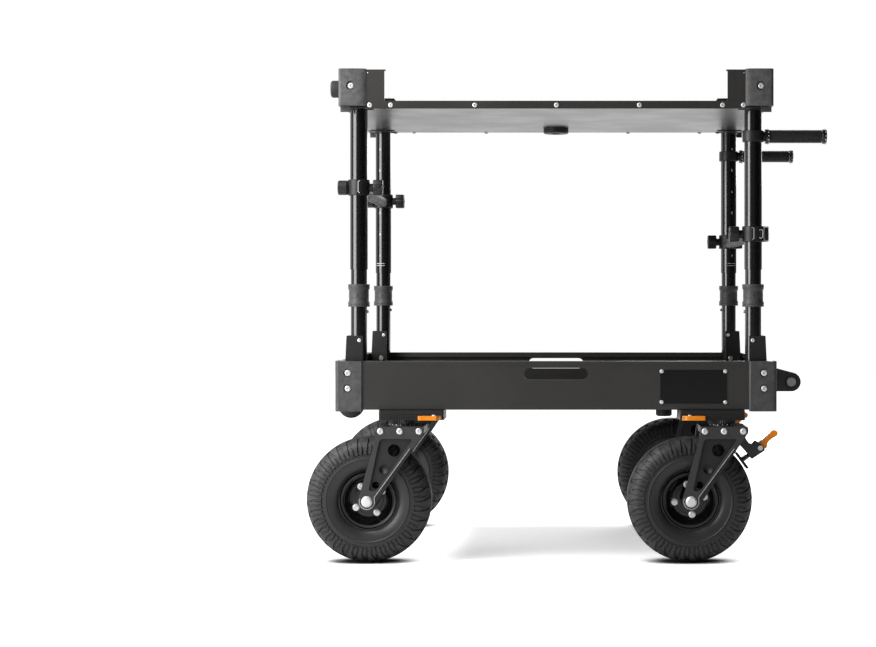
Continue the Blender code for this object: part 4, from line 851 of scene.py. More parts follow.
def make_scale(side_name, side):
    """The height scale on a back leg: a number and a pointer at each stop, beside a double line."""
    at = Vector((MIDDLE_X + side * LEG_X, LEG_Y, 0))
    turn = math.radians(20) * side
    way = Vector((math.sin(turn), -math.cos(turn), 0))
    first, pitch, marks = 0.673, 0.0527, []
    for i in range(6):
        z = first + pitch * i
        if abs(z - CLAMP_Z[side_name]) < 0.024:
            continue
        bpy.ops.object.select_all(action="DESELECT")
        bpy.ops.object.text_add()
        number = bpy.context.object
        number.data.body = str(i + 1)
        number.data.size = 0.0085
        number.data.extrude = 0.0002
        number.data.align_x = "CENTER"
        number.data.align_y = "TOP_BASELINE"
        bpy.ops.object.convert(target="MESH")
        surface = at + way * SLEEVE_RADIUS
        marks.append(duplicate(number, "number", facing(surface + Vector((0, 0, z - 0.002)), way)))
        discard(number)
        pointer = slab("pointer", [(-0.002, 0), (0.002, 0), (0, 0.0034)], "Z", -0.0004, 0.0002)
        marks.append(duplicate(pointer, "pointer", facing(surface + Vector((0, 0, z)), way)))
        discard(pointer)
    front = -90 + 20 * side
    for z in (0.6488, 0.6540):
        line = arc(at.xy, SLEEVE_RADIUS, front - 34, front + 34, 10)
        marks.append(slab("line", ribbon(line, 0.0004), "Z", z, z + 0.0009))
    dress(join(f"leg_scale_{side_name}", *marks), MARKS, f"{side_name}_legs")


def make_collar(side_name, row_name, at):
    """The grip that is lifted to free a leg: flared ends, fine grooves and a small hole."""
    name = f"{side_name}_{row_name}"
    base = Vector((at.x, at.y, 0.550))
    tall = 0.049
    half = [(0.01775, 0), (0.0228, 0), (0.0235, 0.0007), (0.0235, 0.0045), (0.0229, 0.0049)]
    half += [(0.0229, 0.0056), (0.0235, 0.0060), (0.0235, 0.0090), (0.0216, 0.0126), (0.0216, 0.0180)]
    half += [(0.0211, 0.0184), (0.0211, 0.0190), (0.0216, 0.0194)]
    top = [(radius, tall - height) for radius, height in reversed(half)]
    collar = lathe(f"leg_collar_{name}_ring", ring(half + top), 56, "Z", base)
    drill(collar, 0.0019, -0.03, -0.019, "Y", base + Vector((0, 0, 0.0245)), 14)
    dress(collar, COLLAR, f"{name}_collar", f"leg_collar_{name}")


def make_crossbar(side_name, side):
    """A bar between the front and back leg, a clamp round each sleeve, and a lobed knob on each clamp."""
    body, node = f"{side_name}_crossbar", f"crossbar_{side_name}"
    x, z = MIDDLE_X + side * LEG_X, CLAMP_Z[side_name]
    reach = LEG_Y - 0.0206
    bar = lathe(f"{body}_bar", rod(0.0127, -reach, reach), 40, "Y", (x, 0, z - 0.004))
    dress(bar, GRIP, body, node)
    for row_name, row in ROWS.items():
        at = Vector((x, row * LEG_Y, z))
        dress(make_clamp(f"{body}_clamp_{row_name}", side, row, at), PLASTIC, body, node)
        dress(join(f"{body}_clip_{row_name}", *make_clips(side, row, at)), CLIP_AND_HIGHLIGHT, body)
        make_knob(side_name, row_name, side)


def make_clamp(name, side, row, at):
    """A split ring with a boss for its knob. Outboard it has a round cap, or a block on the right."""
    half = [(CLAMP_BORE, -0.017), (0.0230, -0.017), (0.0238, -0.016)]
    clamp = lathe(name, ring(mirrored(half)), 48, "Z", at)
    boss = [(0, 0.0205), (0.009, 0.0205), (0.009, 0.0295), (0.008, 0.0305), (0, 0.0305)]
    fuse(clamp, lathe("boss", turned(boss, -side), 32, "X", at))
    if side < 0:
        cap = [(0, 0.0205), (0.012, 0.0205), (0.016, 0.026), (0.016, 0.043), (0.0145, 0.045), (0, 0.045)]
        fuse(clamp, lathe("cap", turned(cap, side), 40, "X", at))
        dish = [(0, 0.0443), (0.0100, 0.0443), (0.0110, 0.047), (0, 0.047)]
        carve(clamp, lathe("dish", turned(dish, side), 32, "X", at))
    else:
        low, high = at + Vector((0.0205, -0.0136, -0.0165)), at + Vector((0.033, 0.0136, 0.0165))
        fuse(clamp, soften(cuboid("block", low, high), 0.002, 2))
    drill(clamp, CLAMP_BORE, -0.02, 0.02, "Z", at, 48)
    split = rectangle((at.x - 0.0008, at.y), (at.x + 0.0008, at.y + row * 0.03))
    carve(clamp, slab("split", split, "Z", at.z - 0.02, at.z + 0.02))
    return soften(clamp, 0.0005, 2, 60)


def make_clips(side, row, at):
    """A clamp's wire hook and, on the right, the frames of its hinge and its block."""
    x, z = at.x, at.z
    hook = [(0.0050, 0.0135), (0.0008, 0.0125), (0.0008, -0.0095), (0.0040, -0.0125)]
    wires = [([(x - side * px, z + pz) for px, pz in hook], 0.0230, 0.0241)]
    if side > 0:
        hinge = rounded_rectangle((x + 0.0100, z - 0.0095), (x + 0.0190, z + 0.0095), 0.0042)
        block = rounded_rectangle((x + 0.0222, z - 0.0150), (x + 0.0322, z + 0.0150), 0.0010)
        wires += [(hinge + hinge[:1], 0.0165, 0.0211), (block + block[:1], 0.0096, 0.0142)]
    clips = []
    for line, inner, outer in wires:
        y_low, y_high = sorted((at.y + row * inner, at.y + row * outer))
        clips.append(slab("clip", ribbon(line, 0.0012), "Y", y_low, y_high))
    return clips


def make_knob(side_name, row_name, side):
    name = f"{side_name}_{row_name}"
    at = JOINT_AT[f"{name}_knob_turn"]
    outline = []
    for i in range(72):
        angle = 2 * math.pi * i / 72
        radius = 0.0185 - 0.0026 * (1 - math.cos(6 * angle)) / 2
        outline.append((at.y + radius * math.cos(angle), at.z + radius * math.sin(angle)))
    knob = slab(f"crossbar_knob_{name}_grip", outline, "X", at.x - side * 0.0003, at.x - side * 0.0210)
    soften(knob, 0.0022, 3, 60)
    dish = [(0, 0.0197), (0.0070, 0.0197), (0.0085, 0.0225), (0, 0.0225)]
    carve(knob, lathe("dish", turned(dish, -side), 32, "X", at))
    dress(knob, PLASTIC, f"{name}_knob", f"crossbar_knob_{name}")


def make_push_handles():
    """Rubber grips on the right legs, between two lock rings, on a clamp that swings round the sleeve."""
    for row_name in ROWS:
        body, node = f"{row_name}_push_handle", f"push_handle_{row_name}"
        at = JOINT_AT[f"{row_name}_push_handle_swing"].copy()
        at.z = 0.9205
        outside = mirrored([(0.01935, -0.012), (0.0226, -0.012), (0.0233, -0.011)])
        clamp = lathe(f"{node}_clamp", ring(outside), 48, "Z", at)
        dress(fuse(clamp, lathe("bar", rod(0.0105, 0.0208, 0.030), 32, "X", at)), PLASTIC, body, node)
        make_grip(node, body, at)
        dots = []
        for i, start in enumerate((0.026, 0.150)):
            lock = [(0, 0), (0.0155, 0), (0.0165, 0.001), (0.0165, 0.0038), (0.0159, 0.0041)]
            lock += [(0.0159, 0.0049), (0.0165, 0.0052), (0.0165, 0.008), (0.0155, 0.009), (0, 0.009)]
            placed = [(radius, start + height) for radius, height in lock]
            dress(lathe(f"{node}_lock_ring_{i}", placed, 40, "X", at), BLACK_ANODISE, body, node)
            for turn in range(0, 360, 30):
                way = Vector((0, math.cos(math.radians(turn)), math.sin(math.radians(turn))))
                dots.append((at + Vector((start + 0.0064, 0, 0)) + way * 0.0163, way))
        screws(f"{node}_lock_screws", "ball", body, dots)


def make_grip(node, body, at):
    """A sleeve of soft rubber with raised rows across it."""
    start, pitch = 0.0352, 0.0040
    profile = [(0, start)]
    for i in range(28):
        x = start + pitch * i
        profile += [(0.0133, x), (0.0133, x + 0.0010), (0.0144, x + 0.0016), (0.0144, x + 0.0034)]
    profile += [(0.0133, 0.1488), (0, 0.1488)]
    dress(lathe(f"{node}_grip", profile, 40, "X", at), GRIP, body, node)


# The shelf
def make_shelf():
    """A sheet deck with a rim along the front and back, and a folded wall across each end."""
    low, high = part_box("shelf_deck")
    deck = slab("shelf_sheet", rounded_rectangle(low.xy, high.xy, 0.002, 2), "Z", DECK_Z, DECK_TOP)
    rim_end = 0.469 - BLOCK_REACH - GAP
    for row in ROWS.values():
        y0, y1 = span(row, high.y, high.y - SHEET)
        rim_low = (MIDDLE_X - rim_end, y0, DECK_Z - (0.006 if row < 0 else 0.0))
        fuse(deck, cuboid("rim", rim_low, (MIDDLE_X + rim_end, y1, DECK_TOP + 0.008)))
    dress(soften(deck, 0.0006, 2, 60), POWDER, "shelf", "shelf_deck", even=True)
    spread = (-0.4015, -0.3563, -0.1748, 0.0014, 0.1801, 0.3595, 0.4043)
    heads = [((MIDDLE_X + x, row * high.y, 0.9852), (0, row, 0)) for x in spread for row in ROWS.values()]
    screws("shelf_rim_screws", "rim", "shelf", heads)
    for side_name, side in SIDES.items():
        make_end_wall(side_name, side)
        for row_name, row in ROWS.items():
            make_saddle(side_name, row_name, side, row)


def end_wall_line(side, inset, x_in):
    """An end wall's line from above, notched round the corner blocks, with a short return at each end."""
    x_out, x_notch = 0.4628 - inset, 0.469 - BLOCK_REACH - GAP - inset
    y_out, y_notch = 0.2988 - inset, 0.305 - BLOCK_REACH - GAP - inset
    half = [(x_out, y_notch), (x_notch, y_notch), (x_notch, y_out), (x_in, y_out)]
    return [(MIDDLE_X + side * x, y) for x, y in [(x, -y) for x, y in reversed(half)] + half]


def make_end_wall(side_name, side):
    """One folded sheet, with a lip turned inward along its top."""
    thickness, top = 0.0025, 1.0620
    sheet = end_wall_line(side, 0, 0.370) + end_wall_line(side, thickness, 0.370)[::-1]
    wall = slab(f"shelf_end_wall_{side_name}", sheet, "Z", DECK_TOP - 0.002, top)
    lip = end_wall_line(side, 0, 0.3675) + end_wall_line(side, 0.010, 0.3675)[::-1]
    fuse(wall, slab("lip", lip, "Z", top - thickness, top))
    dress(soften(wall, 0.0006, 2, 50), POWDER, "shelf", "shelf_deck", even=True)
    heads = [((MIDDLE_X + side * 0.4055, row * 0.299, 1.0548), (0, row, 0)) for row in ROWS.values()]
    screws(f"shelf_end_wall_{side_name}_screws", "ball", "shelf", heads)


def make_saddle(side_name, row_name, side, row):
    """The moulded seat by which the shelf rests on a leg: a slotted plate, a curved wall and a flap."""
    at = Vector((MIDDLE_X + side * LEG_X, row * LEG_Y, DECK_Z))
    inner, outer, reach, half = 0.01955, 0.02175, 0.030, 0.025
    plate = [(-reach, half), (-reach, inner)] + arc((0, 0), inner, 90, -90, 20)
    plate += [(-reach, -inner), (-reach, -half), (reach, -half), (reach, half)]
    wall = arc((0, 0), outer, -90, 90, 20) + arc((0, 0), inner, 90, -90, 20)
    plate, wall = [[(at.x + side * x, at.y + y) for x, y in shape] for shape in (plate, wall)]
    saddle = slab(f"shelf_saddle_{side_name}_{row_name}", plate, "Z", at.z - 0.0025, at.z - 0.0002)
    fuse(saddle, slab("wall", wall, "Z", at.z - 0.0070, at.z - 0.0012))
    dress(soften(saddle, 0.0004, 2, 60), PLASTIC, "shelf", "shelf_deck")
    x0, x1 = sorted((MIDDLE_X + side * 0.4440, MIDDLE_X + side * 0.4655))
    y0, y1 = span(row, 0.2925, 0.2945)
    flap = cuboid(f"shelf_flap_{side_name}_{row_name}", (x0, y0, at.z - 0.0130), (x1, y1, at.z - 0.0002))
    dress(soften(flap, 0.0007, 2), GUARD_GREY, "shelf", even=True)


def make_shelf_blocks():
    """Moulded corner blocks, whose faces slope back to the rim and the end wall beside them."""
    x1, y1 = MIDDLE_X + 0.469, 0.305
    x0, y0 = x1 - BLOCK_REACH, y1 - BLOCK_REACH
    cut, slope, proud, sink = 0.005, 0.011, 0.006, 0.0035
    outline = [(x1, y0 + slope), (x1, y1 - cut), (x1 - cut, y1), (x0 + slope, y1), (x0, y1 - proud)]
    block = slab("block_master", outline + [(x0, y0), (x1 - proud, y0)], "Z", DECK_Z, 1.0635)
    carve(block, cuboid("ledge", (MIDDLE_X, 0, 0.97), (MIDDLE_X + 0.4633, 0.2993, DECK_TOP + GAP)))
    at, way = Vector((x0 + 0.033, y1, 1.0265)), Vector((0, 1, 0))
    seat = [(0, -sink), (0.0095, -sink), (0.0102, 0.001), (0, 0.001)]
    carve(block, lathe("seat", seat, 32, "Y", at))
    soften(block, 0.0008, 2, 30)
    for side_name, row_name in CORNERS:
        side, row = SIDES[side_name], ROWS[row_name]
        name, place = f"shelf_corner_{side_name}_{row_name}", across(side, row)
        dress(duplicate(block, f"{name}_block", place), BLOCK_GREY, "shelf", name, even=True)
        screws(f"{name}_screw", "middle", "shelf", [(place @ (at - way * sink), (0, row, 0))])
    discard(block)


def make_shelf_rubber():
    for row_name in ROWS:
        low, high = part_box(f"shelf_bumper_{row_name}")
        at = (high.x, (low.y + high.y) / 2, (low.z + high.z) / 2)
        profile = [(0, -0.0160), (0.0060, -0.0160), (0.0070, -0.0185), (0.0155, -0.0185)]
        profile += [(0.0185, -0.0155), (0.0185, 0), (0, 0)]
        bumper = lathe(f"shelf_bumper_{row_name}_pad", eased(profile, 0.001, False), 40, "X", at)
        dress(bumper, GRIP, "shelf", f"shelf_bumper_{row_name}")
    low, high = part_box("shelf_puck")
    at = ((low.x + high.x) / 2, (low.y + high.y) / 2, high.z)
    profile = [(0, -0.0105), (0.010, -0.0105), (0.012, -0.013), (0.0283, -0.013), (0.0305, -0.0108)]
    profile += [(0.0305, -0.0052), (0.0298, -0.0047), (0.0305, -0.0042), (0.0305, 0), (0, 0)]
    dress(lathe("shelf_puck_pad", profile, 48, "Z", at), GRIP, "shelf", "shelf_puck")


# The casters
FORK_HOLES = ((-0.0518, 0.1699, 0.0082), (-0.0343, 0.2036, 0.0095), (-0.0120, 0.2440, 0.0136))
AXLE = (-0.070, 0.135)


def make_casters():
    masters = [make_fork(False), make_fork(True), make_pocket_floors(), make_edge_highlights()]
    masters += [make_edge_shade(), make_tyre(), make_rim()]
    fork, brake_fork, floors, edge_highlights, steps, tyre, rim = masters
    bolt_angles = {"left_front": 32, "left_back": 50, "right_front": 10, "right_back": 62}
    for side_name, row_name in CORNERS:
        name = f"{side_name}_{row_name}"
        body, wheel, node = f"{name}_swivel", f"{name}_wheel", f"caster_fork_{name}"
        at = JOINT_AT[f"{name}_swivel_turn"].copy()
        at.z = 0
        wheel_at = JOINT_AT[f"{name}_wheel_spin"]
        there = Matrix.Translation(at)
        model = brake_fork if side_name == "right" else fork
        dress(duplicate(model, f"{node}_frame", there), FORK, body, node, even=True)
        # The pocket floors carry painted shade in the recesses.
        dress(duplicate(floors, f"{node}_pockets", there), POCKET_PAINTED_SHADE, body)
        # Painted highlight along the plates' right edges.
        dress(duplicate(edge_highlights, f"{node}_edges", there), CLIP_AND_HIGHLIGHT, body)
        # Painted shade beside the highlight, down to the plates' edges.
        dress(duplicate(steps, f"{node}_steps", there), BLACK_PLATE_AND_SHADE, body)
        make_turntable(name, at, body)
        heads = []
        for x in (-0.0410, 0.0, 0.0410):
            heads += [((at.x + x, at.y + row * 0.0575, 0.2850), (0, row, 0)) for row in (-1, 1)]
        screws(f"caster_bolts_{name}", "bolt", body, heads)
        turn = Matrix.Translation(wheel_at) @ Matrix.Rotation(-math.radians(bolt_angles[name]), 4, "Y")
        finish = tyre_rubber(f"tyre_rubber_{name}", wheel_at)
        dress(duplicate(tyre, f"tyre_{name}_tread", turn), finish, wheel, f"tyre_{name}", angle=28)
        dress(duplicate(rim, f"wheel_rim_{name}_shell", turn), GLOSS, wheel, f"wheel_rim_{name}")
        make_wheel_bolts(name, wheel_at, bolt_angles[name])
        make_axle(name, wheel_at, body)
        if side_name == "right":
            make_brake(row_name, at)
    discard(*masters)


def make_fork(with_brake):
    """Two side plates joined by the yoke, with the swivel's neck on top, about the swivel's axis."""
    outline = [(-0.049, 0.294), (-0.053, 0.266)] + arc(AXLE, 0.019, 176, 334, 18)
    outline += [(0.047, 0.275), (0.052, 0.283), (0.052, 0.294)]
    outline = eased(outline, 0.004, steps=2)
    fork = slab("fork_master", outline, "Y", -0.058, -0.050)
    fuse(fork, slab("plate", outline, "Y", 0.050, 0.058))
    fuse(fork, cuboid("yoke", (-0.048, -0.0575, 0.280), (0.051, 0.0575, 0.2935)))
    neck = [(0, 0.285), (0.0265, 0.285), (0.0265, 0.2975), (0.0285, 0.2985), (0.0285, 0.3071), (0, 0.3071)]
    fuse(fork, lathe("neck", neck, 40))
    corners = [(-0.0665, 0.1575), (-0.0425, 0.2686), (0.0285, 0.2686), (-0.0500, 0.1575)]
    for row in (-1, 1):
        carve(fork, slab("pocket", eased(corners, 0.008, steps=4), "Y", row * 0.0530, row * 0.060))
        for x, z, radius in FORK_HOLES:
            drill(fork, radius, *sorted((row * 0.04, row * 0.07)), "Y", (x, 0, z), 36)
    if with_brake:
        add_brake_arm(fork)
    return soften(fork, 0.0008, 2)


def make_pocket_floors():
    """The floors of the plates' pockets, coloured darker than the plate as painted shade in the recess,
    with a raised ring round each hole.
    """
    corners = [(-0.0660, 0.1595), (-0.0420, 0.2680), (0.0275, 0.2680), (-0.0505, 0.1595)]
    floors = []
    for row in (-1, 1):
        low, high = sorted((row * 0.0529, row * 0.0536))
        floor = slab("pocket_floor", eased(corners, 0.0078, steps=4), "Y", low, high)
        for x, z, radius in FORK_HOLES:
            low, high = sorted((row * 0.0531, row * 0.0546))
            fuse(floor, lathe("collar", rod(radius + 0.0010, low, high), 36, "Y", (x, 0, z)))
            drill(floor, radius - 0.0003, *sorted((row * 0.045, row * 0.065)), "Y", (x, 0, z), 36)
        floors.append(soften(floor, 0.0003, 1))
    return join("pocket_floors_master", *floors)


def make_edge_highlights():
    """A painted highlight: a bright strip that follows each plate's right edge and turns round the axle,
    where that edge catches the light.
    """
    line = [(0.0215, 0.2480), (-0.0540, 0.1445)] + arc(AXLE, 0.0162, 10, -205, 24)
    edge_highlights = [slab("bead", ribbon(line, 0.0009), "Y", row * 0.0577, row * 0.0583) for row in (-1, 1)]
    return join("edge_highlights_master", *edge_highlights)


def make_edge_shade():
    """Painted shade: a dark strip outside that line, down to the plate's edge, where the chamfer lies in
    shadow.
    """
    outline = [(0.0222, 0.2475), (0.0285, 0.2475), (-0.0510, 0.1300), (-0.0535, 0.1440)]
    steps = [slab("step", outline, "Y", *span(row, 0.0572, 0.0581)) for row in (-1, 1)]
    return join("edge_shade_master", *steps)


def make_turntable(name, at, body):
    """The ribbed ring of the swivel, with the balls of its race below it."""
    outline = []
    for i in range(96):
        radius, angle = 0.0290 if i % 2 else 0.0300, math.pi * i / 48
        outline.append((at.x + radius * math.cos(angle), at.y + radius * math.sin(angle)))
    dress(slab(f"caster_turntable_{name}", outline, "Z", 0.2988, 0.3068), RAIL, body)
    balls = []
    for i in range(16):
        way = Vector((math.cos(math.pi * i / 8), math.sin(math.pi * i / 8), 0))
        balls.append((Vector((at.x, at.y, 0.2962)) + way * 0.0263, way))
    screws(f"caster_race_{name}", "ball", body, balls)


def add_brake_arm(fork):
    """The arm that carries the brake's lever, slotted for it, with a guide for the shoe's plunger."""
    px, pz = 0.082, 0.246
    away = Vector((px - AXLE[0], pz - AXLE[1])).normalized()
    aside = Vector((-away.y, away.x)) * 0.009
    guide = -away * 0.029
    outline = [(-0.054, 0.041), (-0.032, 0.041), (-0.032, 0.022), (-0.024, 0.010), (-0.016, 0.0065)]
    outline += [(-0.009, 0.014), (0.001, 0.010), (0.011, -0.005)]
    outline += [tuple(guide - aside), tuple(guide + aside), (-0.0435, 0.006)]
    fuse(fork, slab("arm", shifted(eased(outline, 0.002, steps=2), px, pz), "Y", -0.014, 0.014))
    carve(fork, cuboid("slot", (px - 0.014, -0.006, pz - 0.0425), (px + 0.0425, 0.006, pz + 0.0425)))


# The tread repeats over a pitch of eleven columns: two grooves that lean together and the lugs beside them.
# Two plain grooves on each half run round the crown.
PITCHES, COLUMNS = 34, 11
TREAD_START, TREAD_APEX = 0.0985, 0.1230
GROOVE = 0.0047
CROWN_HALF = 0.0157
RING_GROOVES = ((0.0063, 0.0087), (CROWN_HALF, 0.0179))
LEFT_GROOVE = ((0.099, 0.0), (0.111, -0.08), (0.120, 0.05), (0.1246, 0.22))
RIGHT_GROOVE = ((0.099, 0.39), (0.106, 0.48), (0.114, 0.40), (0.1246, 0.38))


def along_line(line, value):
    """The second number of a bent line at a value of its first."""
    for (x0, y0), (x1, y1) in zip(line, line[1:]):
        if value <= x1:
            return y0 + (y1 - y0) * max(0.0, (value - x0) / (x1 - x0))
    return line[-1][1]


def tread_columns(radius):
    """Where the groove columns lie at a radius, as shares of a pitch."""
    half = GROOVE / 2 / (radius * 2 * math.pi / PITCHES)
    left, right = along_line(LEFT_GROOVE, radius), along_line(RIGHT_GROOVE, radius)
    if radius > TREAD_APEX:
        left, right = 0.30 - half, 0.30 + half
        half *= 0.8
    return ((0, left - half), (1, left + half), (5, right - half), (6, right + half), (11, 1 + left - half))


def make_tyre():
    """A pneumatic tyre about the origin, spun in narrow columns that the tread is raised from."""
    wall = [(0.0543, 0.0284), (0.0645, 0.0318), (0.0662, 0.0350), (0.0700, 0.0378), (0.0760, 0.0402)]
    rib = [(0.0820, 0.0416), (0.0875, 0.0424), (0.0886, 0.0434), (0.0902, 0.0434), (0.0914, 0.0421)]
    shoulder = [(0.0955, 0.0418), (0.0984, 0.0414), (0.1000, 0.0410), (0.1060, 0.0402), (0.1120, 0.0388)]
    shoulder += [(0.1170, 0.0366), (0.1215, 0.0332), (0.1250, 0.0292), (0.1276, 0.0246), (0.1294, 0.0202)]
    crown = [(0.1302, 0.0180), (0.1306, 0.0156), (0.1314, 0.0088), (0.1315, 0.0062)]
    half = wall + rib + shoulder + crown
    profile = mirrored(half)
    profile.insert(len(half), (0.1316, 0.0))
    count = PITCHES * COLUMNS
    tyre = lathe("tyre_master", ring(profile), count, "Y")
    column = 2 * math.pi / count

    def is_lug(face):
        centre = face.calc_center_median()
        radius, width = math.hypot(centre.x, centre.z), abs(centre.y)
        if radius < TREAD_START or any(low < width < high for low, high in RING_GROOVES):
            return False
        if width < CROWN_HALF:
            return True
        number = round(math.atan2(centre.z, centre.x) / column - 0.5) % COLUMNS
        return number > 5 or (radius < TREAD_APEX - 0.002 and number not in (0, 5))

    edit(tyre)
    pick_faces(is_lug)
    leave()
    for vertex in tyre.data.vertices:
        radius = math.hypot(vertex.co.x, vertex.co.z)
        if radius < TREAD_START or abs(vertex.co.y) < CROWN_HALF:
            continue
        pitch, number = divmod(round(math.atan2(vertex.co.z, vertex.co.x) / column), COLUMNS)
        angle = (pitch + along_line(tread_columns(radius), number)) * COLUMNS * column
        vertex.co.x, vertex.co.z = radius * math.cos(angle), radius * math.sin(angle)
    edit(tyre)
    bpy.ops.mesh.inset(thickness=0.0005, depth=0.0034, use_boundary=True)
    leave()
    return tyre


def make_rim():
    """A split rim about the origin: boss, hub disc, deep dish and rolled lip."""
    boss = [(0.0067, 0.0460), (0.0160, 0.0460), (0.0170, 0.0450), (0.0180, 0.0150), (0.0200, 0.0132)]
    disc = [(0.0302, 0.0132), (0.0310, 0.0124), (0.0312, 0.0106), (0.0364, 0.0104), (0.0368, 0.0112)]
    disc += [(0.0374, 0.0112), (0.0378, 0.0104), (0.0410, 0.0110)]
    dish = [(0.0418, 0.0150), (0.0424, 0.0158), (0.0440, 0.0162), (0.0500, 0.0200), (0.0516, 0.0222)]
    dish += [(0.0526, 0.0224), (0.0540, 0.0250), (0.0585, 0.0290)]
    lip = [(0.0600, 0.0318), (0.0614, 0.0330), (0.0630, 0.0328), (0.0640, 0.0312), (0.0636, 0.0296)]
    lip += [(0.0620, 0.0286), (0.0540, 0.0246)]
    return lathe("rim_master", ring(mirrored(boss + disc + dish + lip)), 96, "Y")


def make_wheel_bolts(name, at, base):
    places = []
    for i in range(4):
        angle = math.radians(base + 90 * i)
        for row in (-1, 1):
            spot = (at.x + 0.033 * math.cos(angle), at.y + row * 0.0125, at.z + 0.033 * math.sin(angle))
            places.append((spot, (0, row, 0)))
    screws(f"wheel_bolts_{name}", "wheel", f"{name}_wheel", places)


def make_axle(name, at, body):
    half = [(0, -0.063), (0.0085, -0.063), (0.0105, -0.0615), (0.012, -0.0595), (0.012, -0.0581)]
    half.append((0.0063, -0.0581))
    dress(lathe(f"caster_axle_{name}", mirrored(half), 36, "Y", at), ZINC, body)


def make_coil(name, radius, wire, pitch, turns, place):
    """A round wire wound about its own +Z."""
    begin(name, (radius + wire, 0, 0))
    trace([(radius + x, 0, z) for x, z in arc((0, 0), wire, 0, 360, 8)])
    coil = close_shell()
    fineness = {"steps": 20, "render_steps": 20, "use_merge_vertices": False}
    apply(coil, "SCREW", axis="Z", screw_offset=pitch, iterations=turns, **fineness)
    edit(coil)
    bpy.ops.mesh.select_mode(type="EDGE")
    bpy.ops.mesh.select_all(action="DESELECT")
    bpy.ops.mesh.select_non_manifold()
    bpy.ops.mesh.edge_face_add()
    close_shell()
    made = duplicate(coil, name, place)
    discard(coil)
    return made


def make_brake(row_name, at):
    """The serrated orange lever, its pivot bolt, and the sprung shoe that it presses on the tyre."""
    pivot = JOINT_AT[f"{row_name}_brake_press"]
    body = f"{row_name}_brake_lever"
    edge = [(0.0405, 0.0082)]
    for i in range(5):
        u = 0.0370 - 0.0052 * i
        edge += [(u, 0.0070), (u - 0.0012, 0.0066), (u - 0.0026, 0.0088)]
    shape = arc((0.0440, 0.0010), 0.0072, -62, 92, 12) + edge + [(0.0085, 0.0096), (0.0040, 0.0080)]
    shape += arc((0, 0), 0.0070, 120, 280, 10) + [(0.0070, -0.0100), (0.0112, -0.0106), (0.0150, -0.0078)]
    shape += [(0.0180, -0.0046), (0.0257, -0.0031), (0.0360, -0.0040), (0.0430, -0.0058)]
    turn = Matrix.Rotation(math.radians(42), 2)
    outline = shifted([tuple(turn @ Vector(point)) for point in shape], pivot.x, pivot.z)
    lever = slab(f"brake_lever_{row_name}_pedal", outline, "Y", at.y - 0.0057, at.y + 0.0057)
    dress(soften(lever, 0.0009, 2), ORANGE, body, f"brake_lever_{row_name}", even=True)
    half = [(0, 0.0178), (0.0052, 0.0178), (0.0057, 0.0172), (0.0057, 0.0146), (0.0044, 0.0146)]
    half.append((0.0044, 0.0141))
    bolt = lathe(f"brake_pivot_bolt_{row_name}", mirrored(half), 28, "Y", pivot)
    dress(bolt, ZINC, f"right_{row_name}_swivel")
    make_brake_shoe(row_name, at, pivot)


def make_brake_shoe(row_name, at, pivot):
    """A rubber-faced plate on a plunger, with its return spring, square to the line from axle to pivot."""
    body, node = f"{row_name}_brake_shoe", f"brake_shoe_{row_name}"
    axle = Vector((at.x + AXLE[0], at.y, AXLE[1]))
    upright = facing(axle, (pivot - axle).normalized())
    there = upright @ Matrix.Rotation(math.radians(90), 4, "Z")
    plate = cuboid("plate", (-0.020, -0.022, 0.1412), (0.020, 0.022, 0.1430))
    fuse(plate, lathe("plunger", rod(0.0045, 0.1424, (pivot - axle).length - 0.0067), 24))
    dress(duplicate(soften(plate, 0.0004, 1), f"{node}_plate", there), BLACK_PLATE_AND_SHADE, body, node)
    pad = cuboid("pad", (-0.019, -0.021, 0.1380), (0.019, 0.021, 0.1411))
    dress(duplicate(soften(pad, 0.0006, 2), f"{node}_pad", there), GRIP, body, node)
    discard(plate, pad)
    seat = upright @ Matrix.Translation((0, 0, 0.1438))
    dress(make_coil(f"brake_spring_{row_name}", 0.0062, 0.0007, 0.0030, 4, seat), STEEL, body)


# The studio
def make_studio():
    lens = bpy.data.cameras.new("photo_camera")
    lens.sensor_width = 36
    lens.lens = 70.1
    lens.shift_x, lens.shift_y = -0.1347, -0.0291
    lens.clip_end = 100
    camera = bpy.data.objects.new("photo_camera", lens)
    bpy.context.scene.collection.objects.link(camera)
    camera.location = (MIDDLE_X, -3.977, 0.569)
    camera.rotation_euler = (math.radians(90), 0, 0)
    bpy.context.scene.camera = camera
    bpy.context.scene.view_settings.view_transform = "Standard"
    add_lamp("tall_softbox", (-1.75, -1.35, 0.86), (0.0, 0.0, 0.6), (1.2, 1.15), 32)
    add_lamp("upper_softbox", (-1.3, -0.85, 1.80), (-0.2, 0.0, 0.9), (0.6, 0.6), 30)
    add_lamp("back_softbox", (1.2, 3.2, 2.0), (0.0, 0.0, 0.5), (2.0, 2.0), 60)
    make_world()
    make_floor()


def add_lamp(name, at, aim, size, power):
    light = bpy.data.lights.new(name, "AREA")
    light.shape = "RECTANGLE"
    light.size, light.size_y = size
    light.energy = power
    lamp = bpy.data.objects.new(name, light)
    bpy.context.scene.collection.objects.link(lamp)
    lamp.location = at
    lamp.rotation_euler = (Vector(aim) - Vector(at)).to_track_quat("-Z", "Y").to_euler()
    lamp.visible_camera = False


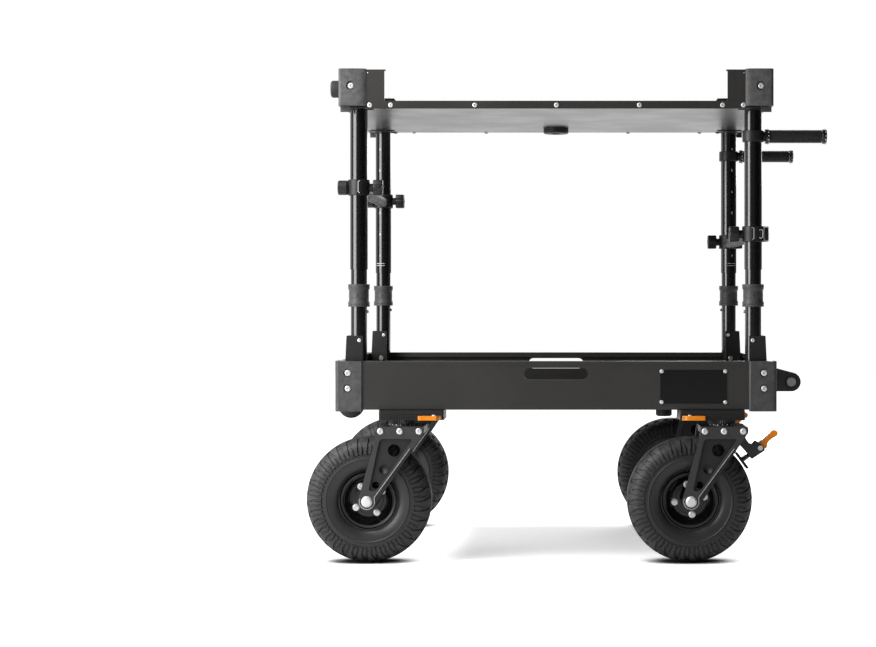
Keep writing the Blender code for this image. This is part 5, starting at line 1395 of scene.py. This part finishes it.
def make_world():
    """White for the camera. Reflections are white behind the cart, dim in front and at the right."""
    world = bpy.data.worlds.new("studio")
    world.use_nodes = True
    bpy.context.scene.world = world
    sky = Graph(world.node_tree)
    way = sky.node("ShaderNodeTexCoord", {}, {}, "Generated")
    x, y = sky.split(way, "X"), sky.split(way, "Y")
    fill = sky.step(x, -0.8, 0.6, 0.60, 0.06)
    shine = sky.step(y, -0.15, 0.35, 0.10, 1.0) * sky.step(x, 0.05, 0.45, 1.0, 0.15)
    mirror = sky.math("MAXIMUM", sky.ray("Glossy"), sky.ray("Transmission"))
    camera = sky.ray("Camera")
    lit = fill * (1 - mirror) + shine * mirror
    strength = lit * (1 - camera) + camera
    ground = sky.tree.nodes["Background"]
    sky.tree.links.new(strength.socket, ground.inputs["Strength"])
    ground.inputs["Color"].default_value = (1, 1, 1, 1)


def make_floor():
    """A floor that is white but for a pale painted shadow under the tray, and a dark painted shadow close
    under what stands on it.
    """
    bpy.ops.object.select_all(action="DESELECT")
    bpy.ops.mesh.primitive_circle_add(vertices=64, radius=9, fill_type="NGON")
    floor = bpy.context.object
    floor.name = floor.data.name = "studio_floor"
    paint = Finish("studio_floor", None, roughness=0.9, emission_strength=1.0, specular_ior_level=0.0)
    reach = paint.vector("ABSOLUTE", paint.vector("MULTIPLY", paint.place, (3.9, 3.4, 0)))
    distance = paint.math("MAXIMUM", paint.split(reach, "X"), paint.split(reach, "Y"))
    # Painted contact shadow: ambient occlusion darkens the floor's colour and glow close under what stands
    # on it.
    nearby = paint.node("ShaderNodeAmbientOcclusion", {"samples": 8}, {"Distance": 0.07}, "AO")
    openness = paint.step(nearby, 0.35, 0.75)
    # Painted pale shadow: the glow is lower in a box round the middle, under the tray.
    glow = paint.step(distance, 0.80, 1.20, 0.48, 1.0) * openness
    behind = paint.step(paint.split(paint.place, "Y"), -0.4, 1.0, 0.12, 1.0)
    seen = paint.ray("Camera") + paint.ray("Glossy") * behind
    paint.set(emission_color=paint.mix(seen * glow, (0, 0, 0, 1), (1, 1, 1, 1)))
    paint.set(base_color=paint.mix(openness, *greys(60, 231)))
    floor.data.materials.append(paint.material)


make_tray()
make_name_plate()
make_protectors()
make_rails()
make_feet()
make_carry_handle()
make_brackets()
make_legs()
make_push_handles()
make_shelf()
make_shelf_blocks()
make_shelf_rubber()
make_casters()
discard(*SCREWS.values())
make_studio()
